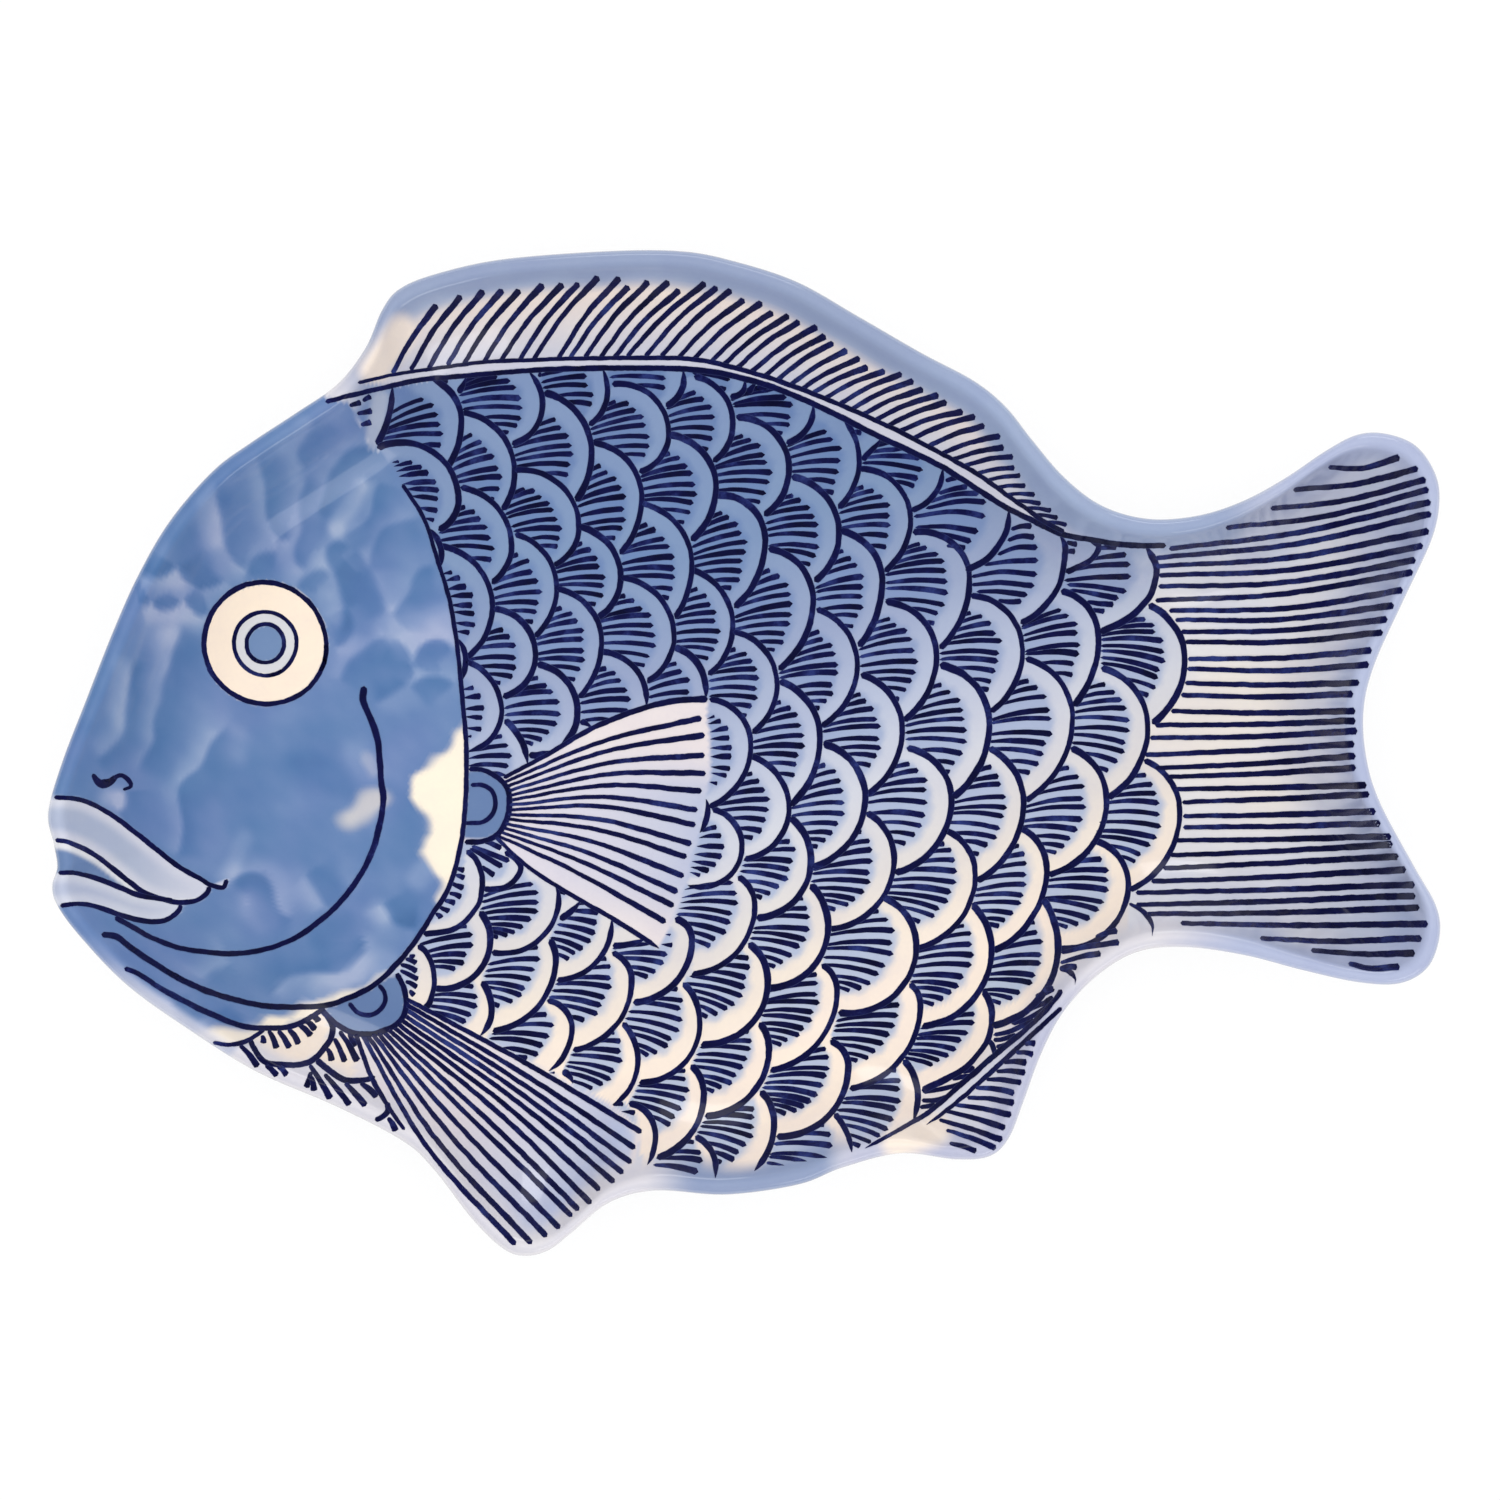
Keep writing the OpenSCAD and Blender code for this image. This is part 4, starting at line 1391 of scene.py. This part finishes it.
    def paint_mouth(self, brush: Brushwork) -> None:
        """Draw the lips."""
        for line in (self.upper_lip, self.upper_lip_low, self.lower_lip, self.lower_lip_low):
            brush.stroke(line, (4.5, 5.4, 4.8), 0.7)

    def paint_eye(self, brush: Brushwork) -> None:
        """Draw the three rings of the eye, none quite round."""
        turn = np.linspace(0, 2 * math.pi, 40, endpoint=False)
        for number, (radius, width) in enumerate(self.eye_rings):
            wobble = radius * (1 + 0.012 * np.sin(2 * turn + number) + 0.008 * np.sin(3 * turn))
            ring = np.column_stack((np.cos(turn + number) * wobble, np.sin(turn + number) * wobble))
            brush.stroke(ring + self.eye, (width, width * 1.1, width), 0.7, closed=True)

    def paint_chin(self, brush: Brushwork) -> None:
        """Draw the outlines of the chin's scales and their rays."""
        for line in (self.chin_one, self.chin_two, self.chin_three):
            brush.stroke(line, (6, 6, 5.4), 0.75)
        for a, b in lines_of(self.chin_rays):
            brush.stroke((a, (a + b) / 2 + (0.6, -0.6), b), (4, 5.8, 7), brush.draw.uniform(0.6, 0.8),
                         True)

    def paint_nostril(self, brush: Brushwork) -> None:
        """Draw the nostril: a wedge, and the hook that leaves it."""
        brush.stroke(self.nostril[0], (4, 9, 5), 0.75)
        brush.stroke(self.nostril[1], (4.5, 5, 3), 0.75)


@dataclass
class Washes:
    """Pale and deep blue washes of the painted inside, worked out at places on the grid.

    Ramps hold places and colours; spots hold a line, its radius, colour and force.
    """

    limits: Limits
    field_of_scales: ScaleField
    head: Head
    rim: np.ndarray
    joint_blue: str = "627ca9"
    cream: str = "f7e7d8"
    head_cream: str = "fbeeda"
    face: tuple = ((0, "446c9f"), (0.25, "5177aa"), (0.5, "6483b3"), (0.75, "7d96bf"), (1, "9fafcd"))
    eye: tuple = ("fcead6", "d6d6da", "6d89b4")
    upper_lip: tuple[str, str] = ("cfd1df", "adb7cf")
    lower_lip: tuple[str, str] = ("cdd1e0", "b4bcd4")
    back_fin: tuple = ((0, "cfcfdd"), (0.10, "cdcddc"), (0.2, "cbcbd8"), (0.5, "e0d8da"), (1, "f6e3d3"))
    breast_fin: tuple = ((0, "ddd6df"), (0.5, "d1cfdc"), (1, "b7bdd5"))
    belly_fin: tuple = ((0, "e8dfe0"), (0.5, "e0d8de"), (0.78, "cbcde0"), (0.95, "b9c1dd"), (1, "c6cbe1"))
    tail: tuple = ((0, "e8e0da"), (0.5, "dfdde1"), (1, "ced3e5"))
    bands: tuple = ("8f9dbd", "adb6d4", "8c9bbd", "bcbed4", "96a5c5")
    crescent: tuple = ((0, "7f95bd"), (0.3, "7b93b9"), (0.5, "95a2c3"), (0.65, "b2bbd3"),
                       (0.8, "cdcfda"), (0.95, "dcd6d4"), (1.05, "efe2d5"), (1.15, "fbeadb"))
    fan: tuple = ((0, "6680b0"), (0.3, "6a85b4"), (0.5, "7f93bd"), (0.65, "95a4c7"),
                  (0.8, "a6b2cf"), (1.15, "b6c0d7"))
    spots: tuple = ((377, 372, 404, 333, 23, "f8e8da", 0.9), (897, 1141, 934, 1127, 24, "fbebdb", 0.95),
                    (382, 400, 375, 440, 13, "adb6cb", 0.85))

    def colour(self, p: np.ndarray) -> np.ndarray:
        """Linear colour of the washes at each place, laid one over another."""
        x, head = p[:, 0], self.head
        paint = linear("d8d8e3")
        edge = depth_in(p, self.rim)
        paint = over(paint, self._tail(p), smooth_step(1040, 1090, x))
        paint = self._scales(p, paint)
        paint = over(paint, self._back_fin(p, edge), self._above_back(p))
        paint = over(paint, self._breast(p), smooth_step(-1.5, 1.5, depth_in(p, self.limits.breast_fin)))
        cream = linear(self.cream)
        for corners in (head.chin_one, head.chin_two + head.chin_back):
            paint = over(paint, cream, smooth_step(0, 3, depth_in(p, corners)))
        field = depth_in(p, self.limits.belly_fin)
        paint = over(paint, self._belly_fin(p, field), smooth_step(-2, 2, field))
        paint = self._rim_band(p, edge, paint)
        joint = depth_in(p, curve_through(BellyFin.joint))
        paint = over(paint, linear(self.joint_blue), smooth_step(-1.5, 0.5, joint))
        deep = depth_in(p, self.limits.head)
        held = deep > -2
        face = paint.copy()
        face[held] = self._head(p[held])
        shore = smooth_step(17, 5, edge) * smooth_step(940, 1000, p[:, 1])
        face = over(face, linear("c9cbdb"), shore * 0.8)
        paint = over(paint, face, smooth_step(-1.5, 1.5, deep))
        # Painted shade: the outermost two units of the edge are darkened, where the lip turns away from
        # the light.
        paint = over(paint, paint * 0.86, smooth_step(2.2, 0.6, edge))
        return np.clip(paint, 0, 1)

    def _down(self, p: np.ndarray) -> np.ndarray:
        """How far down and back a place lies, from 0 at the back to 1 near the belly."""
        return (p[:, 1] - 380) / 600 + 0.35 * np.maximum(0, p[:, 0] - 700) / 500

    def _scales(self, p: np.ndarray, paint: np.ndarray) -> np.ndarray:
        """Each scale: a pale crescent along its outline, and a bluer fan towards its root."""
        down = self._down(p)
        pale, blue = ramp(down, self.crescent), ramp(down, self.fan)
        near = self.limits.scales(p) | (distance(p, self.limits.flank, closed=True) < 4)
        index = np.flatnonzero(near)
        q = p[index]
        share = np.full(len(q), np.nan)
        scales = self.field_of_scales
        for r, k in scales.scales():
            outline = scales.outline(r, k)
            corners = np.vstack((outline, scales.boundary(r, k)[::-1]))
            hit = inside(q, corners)
            if not hit.any():
                continue
            root = scales.place(r - 1, k)
            turn = np.arctan2(*(outline - root).T[::-1])
            order = np.argsort(turn)
            spot = q[hit] - root
            reach = np.interp(np.arctan2(spot[:, 1], spot[:, 0]), turn[order],
                              np.linalg.norm(outline - root, axis=1)[order])
            share[hit] = np.linalg.norm(spot, axis=1) / np.maximum(reach, 1)
        held = ~np.isnan(share)
        index, q, share = index[held], q[held], share[held]
        wet = smooth_step(0.83, 0.72, share + 0.02 * ripple(q, 18, 3))
        out = paint.copy()
        bare = (depth_in(p, self.limits.flank) > 0) & (p[:, 0] < 1128)
        out[bare] = over(blue[bare], pale[bare], 0.6 * smooth_step(0.85, 1.0, down[bare]))
        out[index] = over(pale[index], blue[index], wet)
        return out

    def _tail(self, p: np.ndarray) -> np.ndarray:
        """Cream between the rays, bluer towards the upper and lower edges."""
        off = np.clip(np.abs(p[:, 1] - 735) / 210 + 0.2 * ripple(p * (0.5, 1), 80, 31), 0, 1)
        paint = ramp(off, self.tail)
        lobe = np.interp(p[:, 1], (480, 600, 735, 850, 950), (1400, 1372, 1322, 1360, 1385))
        tip = smooth_step(-70, 25, p[:, 0] - lobe)
        paint = over(paint, linear("b9c2df"), 0.8 * tip)
        pool = np.linalg.norm((p - (1425, 915)) * (1.5, 1), axis=1)
        return over(paint, linear("9aaad0"), 0.6 * smooth_step(90, 20, pool))

    def _above_back(self, p: np.ndarray) -> np.ndarray:
        """Cover of the back fin: above its lower line."""
        line = curve_through(self.limits.back_line)
        level = np.interp(p[:, 0], line[:, 0], line[:, 1])
        return smooth_step(1, -2, p[:, 1] - level) * smooth_step(1180, 1150, p[:, 0])

    def _back_fin(self, p: np.ndarray, edge: np.ndarray) -> np.ndarray:
        """Grey lavender at the base of the rays, cream between them, blue past their tips."""
        line = curve_through(self.limits.back_line)
        rise = np.interp(p[:, 0], line[:, 0], line[:, 1]) - p[:, 1]
        paint = ramp(np.clip(rise / 90, 0, 1), self.back_fin)
        return over(paint, linear("a3b0cc"), smooth_step(42, 26, edge))

    def _breast(self, p: np.ndarray) -> np.ndarray:
        """Pale lavender, deeper in the middle; the joint is a darker pool."""
        paint = ramp(np.clip((p[:, 0] - 500) / 200, 0, 1), self.breast_fin)
        off = np.clip(np.abs(p[:, 1] - 830 - 0.15 * (p[:, 0] - 600)) / 110, 0, 1)
        paint = over(paint, linear("e4dadb"), smooth_step(0.35, 0.95, off))
        pool = np.linalg.norm(p - (478, 805), axis=1)
        return over(paint, linear(self.joint_blue), smooth_step(37, 33, pool))

    def _belly_fin(self, p: np.ndarray, field: np.ndarray) -> np.ndarray:
        """Cream near the joint, bluer near the ends of the rays, and pale at the fin's tip."""
        far = np.linalg.norm(p - (368, 1000), axis=1)
        paint = ramp(np.clip(far / 300, 0, 1), self.belly_fin)
        return over(paint, linear("e9dfe0"), smooth_step(250, 285, far) * smooth_step(9, 3, field))

    def _tone(self, p: np.ndarray) -> np.ndarray:
        """Thinness of the head's blue, from 0 for pooled to 1.

        Every dab of the brush left an edge: pooled on the left of the line as it is drawn, thin
        on its right, and easing off on both sides. Soft pools lie under the edges.
        """
        value = 0.50 + 0.05 * ripple(p * (1, 0.6), 70, 11) + 0.03 * ripple(p, 26, 12)
        q = p + 1.6 * np.column_stack((ripple(p, 46, 1), ripple(p, 46, 2)))
        for *line, radius, tone in self.head.pools:
            far = distance(q, places(line))
            value += tone * smooth_step(radius * 1.25, radius * 0.2, far)
        for line, force in self.head.edges:
            path = curve_through(line, steps=4)
            near = np.flatnonzero(np.all((q > path.min(0) - 40) & (q < path.max(0) + 40), axis=1))
            side, share = beside(q[near], path)
            fade = force * smooth_step(0, 0.12, share) * smooth_step(1, 0.88, share)
            thin = smooth_step(-4.2, 4.2, side)
            value[near] += fade * (0.22 * thin * smooth_step(26, 0, side)
                                   - 0.30 * (1 - thin) * smooth_step(-40, 0, side))
        return value

    def _head(self, p: np.ndarray) -> np.ndarray:
        """Dabs of blue, with cream left bare by the gill and below the jaw, lips and eye."""
        paint = ramp(np.clip(self._tone(p), 0, 1), self.face)
        rose = np.clip(0.12 + 0.45 * ripple(p, 110, 14), 0, 0.42)
        paint = over(paint, paint * (1.14, 0.97, 1.04), rose)
        cream = linear(self.head_cream)
        bare = depth_in(p, self.head.bare) + 3 * ripple(p, 36, 5)
        paint = over(paint, cream, smooth_step(-5, 5, bare))
        for *line, radius, cover in self.head.creams:
            far = distance(p, places(line)) + 3 * ripple(p, 40, 8)
            paint = over(paint, cream, smooth_step(radius, radius * 0.2, far) * cover)
        x, y = p[:, 0], p[:, 1]
        for top, low, codes in ((self.head.upper_lip, self.head.upper_lip_low, self.upper_lip),
                                (self.head.lower_lip, self.head.lower_lip_low, self.lower_lip)):
            upper, lower = curve_through(top), curve_through(low)
            corners = np.vstack(((30, upper[0, 1]), upper, lower[::-1], (30, lower[0, 1])))
            deep = depth_in(p, corners)
            middle = smooth_step(4, 15, deep) * smooth_step(215, 120, x)
            lip = over(linear(codes[0]), linear(codes[1]), middle)
            paint = over(paint, lip, smooth_step(-2, 2, deep))
        above = curve_through(self.head.upper_lip_low)[:self.head.cleft_to[0]]
        below = curve_through(self.head.lower_lip)[:self.head.cleft_to[1]]
        gap = np.vstack(((30, above[0, 1]), above, below[::-1], (30, below[0, 1])))
        deep = depth_in(p, gap)
        line = np.interp(x, above[:, 0], above[:, 1])
        cleft = over(linear("dfe0e6"), linear("6a84b0"), smooth_step(6, 12, y - line))
        paint = over(paint, cleft, smooth_step(-1.5, 1.5, deep))
        return self._eye(p, paint)

    def _eye(self, p: np.ndarray, paint: np.ndarray) -> np.ndarray:
        """Cream ring, grey-white ring and blue pupil."""
        far = np.linalg.norm(p - self.head.eye, axis=1)
        for (radius, _), code in zip(self.head.eye_rings, self.eye):
            paint = over(paint, linear(code), smooth_step(radius + 1.2, radius - 1.2, far))
        return paint

    def _rim_band(self, p: np.ndarray, edge: np.ndarray, paint: np.ndarray) -> np.ndarray:
        """Blue band just inside the lip, bare spots, and a paler line painted as the lip's highlight."""
        x, y = p[:, 0], p[:, 1]
        above, below = smooth_step(600, 540, y), smooth_step(1000, 1100, y)
        turn = np.column_stack((
            smooth_step(330, 380, x) * smooth_step(1290, 1200, x) * above,
            smooth_step(1150, 1250, x) * (1 - above * smooth_step(1290, 1210, x)),
            below * smooth_step(640, 700, x) * smooth_step(860, 820, x),
            smooth_step(960, 1020, y) * smooth_step(820, 860, x) * smooth_step(1110, 1070, x),
            above * smooth_step(880, 980, x) * smooth_step(1290, 1200, x)))
        band = linear("d9d6dd")
        for share, code in zip(turn.T, self.bands):
            band = over(band, linear(code), share)
        wide = 34 + 5 * ripple(p, 90, 21) + 14 * turn[:, 0] * smooth_step(940, 1040, x)
        cover = smooth_step(1, 0, (edge - wide * 0.55) / (wide * 0.6))
        paint = over(paint, band, cover)
        for *line, radius, code, force in self.spots:
            far = distance(p, places(line))
            bare = smooth_step(radius, radius * 0.3, far) * ((y < 386) | (y > 392))
            paint = over(paint, linear(code), force * bare)
        # Painted highlight: a paler line a few units inside the edge, where the rounded lip catches the
        # light; stronger round the tail.
        lip = smooth_step(2, 4, edge) * smooth_step(10, 6, edge)
        return over(paint, linear("b4bcd9"), lip * (0.12 + 0.4 * turn[:, 1]))


@dataclass
class Dish:
    """The glazed dish: painted inside, plain glazed underside."""

    form: DishForm
    finish: GlazeFinish = field(default_factory=GlazeFinish)
    underside: str = "dcdfea"

    def build(self, washes: Washes) -> bpy.types.Object:
        """Close the rings with a floor above and below, and colour every point."""
        form = self.form
        rings, painted = form.rings()
        top_extra, top_faces = form.cap(rings[0], form.floor_pitch)
        low_extra, low_faces = form.cap(rings[-1], form.under_pitch)
        n = form.samples
        body = np.vstack(rings)
        grid = np.arange(len(rings) * n).reshape(len(rings), n)
        a, b = grid[:-1], grid[1:]
        c, d = np.roll(b, -1, axis=1), np.roll(a, -1, axis=1)
        walls = np.concatenate((np.stack((a, d, c), axis=-1).reshape(-1, 3),
                                np.stack((a, c, b), axis=-1).reshape(-1, 3)))
        base = len(body)
        tops = self._faces(top_faces, n, 0, base, body, top_extra, True)
        lows = self._faces(low_faces, n, grid[-1, 0], base + len(top_extra), body, low_extra, False)
        verts = np.vstack((body, top_extra, low_extra))
        ring_of = np.repeat(np.arange(len(rings)), n)
        above = np.concatenate((ring_of < painted, np.ones(len(top_extra), bool),
                                np.zeros(len(low_extra), bool)))
        colour = np.tile(linear(self.underside), (len(verts), 1))
        colour[above] = washes.colour(to_grid(verts[above, :2]))
        piece = make_mesh("glazed_dish", verts, np.vstack((walls, tops, lows)), True,
                          self.finish.material(), {"wash": colour})
        self._plan_map(piece, verts)
        return piece

    @staticmethod
    def _faces(triangles: list, count: int, edge: int, first: int, body: np.ndarray,
               extra: np.ndarray, up: bool) -> np.ndarray:
        """Renumber a floor's triangles for the whole mesh, and turn them to face up or down."""
        index = np.array(triangles)
        index = np.where(index < count, index + edge, index - count + first)
        place = np.vstack((body[:, :2], np.zeros((max(0, first - len(body)), 2)), extra[:, :2]))
        p, q, r = (place[index[:, i]] for i in range(3))
        turn = (q - p)[:, 0] * (r - p)[:, 1] - (q - p)[:, 1] * (r - p)[:, 0]
        wrong = (turn > 0) != up
        index[wrong] = index[wrong][:, ::-1]
        return index

    @staticmethod
    def _plan_map(piece: bpy.types.Object, verts: np.ndarray) -> None:
        """Give the dish a map of its plan: the inside on one half, the underside on the other."""
        mesh = piece.data
        corner = np.empty(len(mesh.loops), np.int32)
        mesh.loops.foreach_get("vertex_index", corner)
        normal = np.empty(len(mesh.polygons) * 3, np.float32)
        mesh.polygons.foreach_get("normal", normal)
        below = np.repeat(normal.reshape(-1, 3)[:, 2] < 0, 3)
        plan = verts[corner, :2] / DISH_LENGTH
        v = np.where(below, plan[:, 1] * 0.34 + 0.86, plan[:, 1] * 0.98 + 0.365)
        u = np.where(below, plan[:, 0] * 0.34 + 0.5, plan[:, 0] * 0.98 + 0.5)
        layer = mesh.uv_layers.new(name="OFBake")
        layer.data.foreach_set("uv", np.column_stack((u, v)).astype(np.float32).ravel())


@dataclass
class FootRing:
    """Egg shaped ring under the floor, with softened edges and a bare face."""

    height: float = 0.006
    root: float = 0.009
    face: float = 0.005
    bevel: float = 0.0008
    head_radius: float = 0.057
    tail_radius: float = 0.034
    span: float = 0.100
    x: float = -0.058
    y: float = 0.002
    samples: int = 360
    side_steps: int = 26
    finish: FootFinish = field(default_factory=FootFinish)

    def path(self) -> tuple[np.ndarray, np.ndarray]:
        """Middle line of the ring, and the way out from it.

        Two arcs about centres on the same line are joined by their outer tangents, which leave
        each arc at the angle whose cosine is the difference of the radii over the span.
        """
        angle = math.acos((self.head_radius - self.tail_radius) / self.span)
        turn = np.linspace(-math.pi, math.pi, self.samples, endpoint=False)
        out = np.column_stack((np.cos(turn), np.sin(turn)))
        tail = np.abs(turn) < angle
        centre = np.where(tail, self.x + self.span, self.x)
        radius = np.where(tail, self.tail_radius, self.head_radius)
        plan = np.column_stack((centre, np.full(len(turn), self.y))) + out * radius[:, None]
        share = np.linspace(0, 1, self.side_steps)[1:-1, None]
        for last in np.flatnonzero(tail != np.roll(tail, -1))[::-1]:
            after = (last + 1) % len(turn)
            plan, out = (np.insert(rows, last + 1, rows[last] + (rows[after] - rows[last]) * share, 0)
                         for rows in (plan, out))
        return plan, out

    def profile(self) -> np.ndarray:
        """Section of the ring: wide at the floor, rounded into the face that it stands on."""
        soft = np.linspace(0, math.pi / 2, 5)
        out = self.face / 2 + self.bevel * np.cos(soft)
        low = self.bevel - self.bevel * np.sin(soft)
        flank = np.column_stack((np.linspace(self.root / 2, out[0], 8)[:-1],
                                 np.linspace(self.height, low[0], 8)[:-1]))
        right = np.vstack((flank, np.column_stack((out, low))))
        left = right[::-1] * (-1, 1)
        return np.vstack((right, left))

    def build(self) -> bpy.types.Object:
        """Carry the section round the middle line and close it on itself."""
        plan, way = self.path()
        section = self.profile()
        n, m = len(plan), len(section)
        flat = plan[:, None] + way[:, None] * section[None, :, :1]
        height = np.broadcast_to(section[:, 1], (n, m))[..., None]
        verts = np.concatenate((flat, height), axis=2).reshape(-1, 3)
        grid = np.arange(n * m).reshape(n, m)
        a, b = grid, np.roll(grid, -1, axis=0)
        c, d = np.roll(b, -1, axis=1), np.roll(a, -1, axis=1)
        faces = np.stack((a, d, c, b), axis=-1).reshape(-1, 4)
        return make_mesh("foot_ring_glazed", verts, faces, True, self.finish.material())


@dataclass
class Studio:
    """Camera over the platter, soft boxes, pale dome and white floor."""

    distance: float = 6.0
    frame: float = 0.3846
    middle: tuple[float, float] = (0.00147, 0.00077)
    dome: float = 0.85
    gloss_low: float = 0.14
    gloss_top: float = 0.04
    fill_watts: float = 32.0
    box_watts: float = 2.4
    sensor: float = 36.0
    floor_half: float = 6.0
    floor_white: float = 1.02
    floor_share: float = 0.86

    def camera(self) -> None:
        """Look straight down from far away, so that the view is nearly parallel."""
        data = bpy.data.cameras.new("overhead")
        data.sensor_width = self.sensor
        data.lens = self.sensor * self.distance / self.frame
        data.clip_start, data.clip_end = 0.1, 100
        camera = bpy.data.objects.new("overhead", data)
        camera.location = (*self.middle, self.distance)
        bpy.context.scene.collection.objects.link(camera)
        bpy.context.scene.camera = camera

    def lights(self) -> None:
        """Add the overhead fill, which shows in no gloss, two low side boxes, and the dome."""
        for name, place, size, watts, gloss in (
                ("fill", (0.0, 0.0, 3.0), (2.4, 2.4), self.fill_watts, False),
                ("box_front", (0.75, -1.5, 0.75), (1.0, 0.5), self.box_watts, True),
                ("box_back", (0.25, 1.6, 0.62), (0.9, 0.45), self.box_watts, True)):
            data = bpy.data.lights.new(name, "AREA")
            data.shape, data.size, data.size_y, data.energy = "RECTANGLE", *size, watts
            lamp = bpy.data.objects.new(name, data)
            lamp.location = place
            lamp.visible_glossy = gloss
            lamp.rotation_euler = (-Vector(place)).to_track_quat("-Z", "Y").to_euler()
            bpy.context.scene.collection.objects.link(lamp)
        world = bpy.data.worlds.new("dome")
        bpy.context.scene.world = world
        maker = NodeMaker(world)
        path = maker.node("ShaderNodeLightPath")
        up = maker.node("ShaderNodeTexCoord")["Generated"]
        height = maker.node("ShaderNodeSeparateXYZ", inputs={"Vector": up})["Z"]
        soft = (self.gloss_low - height * (self.gloss_low - self.gloss_top) * 1.5).clamp(
            self.gloss_top, self.gloss_low)
        level = path["Is Glossy Ray"] * (soft - self.dome) + self.dome
        level = path["Is Camera Ray"] * (1 - level) + level
        light = maker.node("ShaderNodeBackground", inputs={
            "Color": (1, 1, 1, 1), "Strength": level})["Background"]
        maker.node("ShaderNodeOutputWorld", inputs={"Surface": light})

    def floor(self) -> None:
        """Lay a white floor that keeps a soft shadow and reads as white."""
        maker = MaterialMaker("white_floor")
        path = maker.node("ShaderNodeLightPath")
        seen = (path["Is Camera Ray"] + path["Is Glossy Ray"]
                + path["Is Transmission Ray"]).clamp(0, 1) * self.floor_share
        matt = maker.node("ShaderNodeBsdfDiffuse", inputs={"Color": (0.9, 0.9, 0.9, 1)})["BSDF"]
        white = maker.node("ShaderNodeEmission", inputs={
            "Color": (1, 1, 1, 1), "Strength": self.floor_white})
        surface = maker.node("ShaderNodeMixShader", inputs={
            0: seen, 1: matt, 2: white["Emission"]})["Shader"]
        maker.node("ShaderNodeOutputMaterial", inputs={"Surface": surface})
        corners = np.array(((-1, -1, 0), (1, -1, 0), (1, 1, 0), (-1, 1, 0))) * self.floor_half
        floor = make_mesh("studio_floor", corners, np.array([[0, 1, 2, 3]]), False, maker.material)


def register(piece: bpy.types.Object, slot: Slot, *nodes: str) -> None:
    """Let a piece ride on the root body, hide the nodes that it stands for and log its faces."""
    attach(piece, "root")
    if nodes:
        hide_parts(*nodes)
    log.info("%s: %d faces", piece.name, len(piece.data.polygons))


def main() -> None:
    """Build the dish, its brushwork, the foot and the studio, and report each piece."""
    logging.basicConfig(level=logging.INFO, format="%(message)s")
    scene = bpy.context.scene
    scene.view_settings.view_transform = "Standard"
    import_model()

    form, limits, head, scales = DishForm(), Limits(), Head(), ScaleField()
    washes = Washes(limits, scales, head, to_grid(form.rim[::3]))
    dish = Dish(form).build(washes)
    register(dish, Slot.GLAZE, "platter_body")
    register(FootRing().build(), Slot.CLAY, "foot_ring")

    back, breast, belly, anal, tail = BackFin(), BreastFin(), BellyFin(), AnalFin(), TailFin()
    # Name, lift over the glaze in metres, grid units from point to point, and the painting
    works = (
        ("scale_outlines", 0.00008, 2.8, partial(scales.paint_outlines, limits=limits)),
        ("scale_rays", 0.00005, 4.2, partial(scales.paint_rays, limits=limits)),
        ("back_fin_lines", 0.00011, 2, partial(back.paint_lines, limits=limits)),
        ("back_fin_rays", 0.00007, 2, back.paint_rays),
        ("tail_rays", 0.00016, 2, tail.paint),
        ("breast_fin_lines", 0.00010, 2, partial(breast.paint, limits=limits)),
        ("belly_fin_lines", 0.00010, 2, belly.paint),
        ("anal_fin_lines", 0.00010, 2, partial(anal.paint, limits=limits)),
        ("gill_and_jaw_lines", 0.00013, 2, partial(head.paint_lines, limits=limits)),
        ("lip_lines", 0.00008, 2, head.paint_mouth),
        ("nostril", 0.00008, 2, head.paint_nostril),
        ("eye_rings", 0.00008, 2, head.paint_eye),
        ("chin_scales", 0.00008, 2, head.paint_chin))
    for name, lift, pitch, paint in works:
        brush = Brushwork(name, lift=lift, pitch=pitch)
        paint(brush)
        register(brush.build(dish), Slot.GLAZE)

    studio = Studio()
    studio.camera()
    studio.lights()
    studio.floor()


if __name__ == "__main__":
    main()
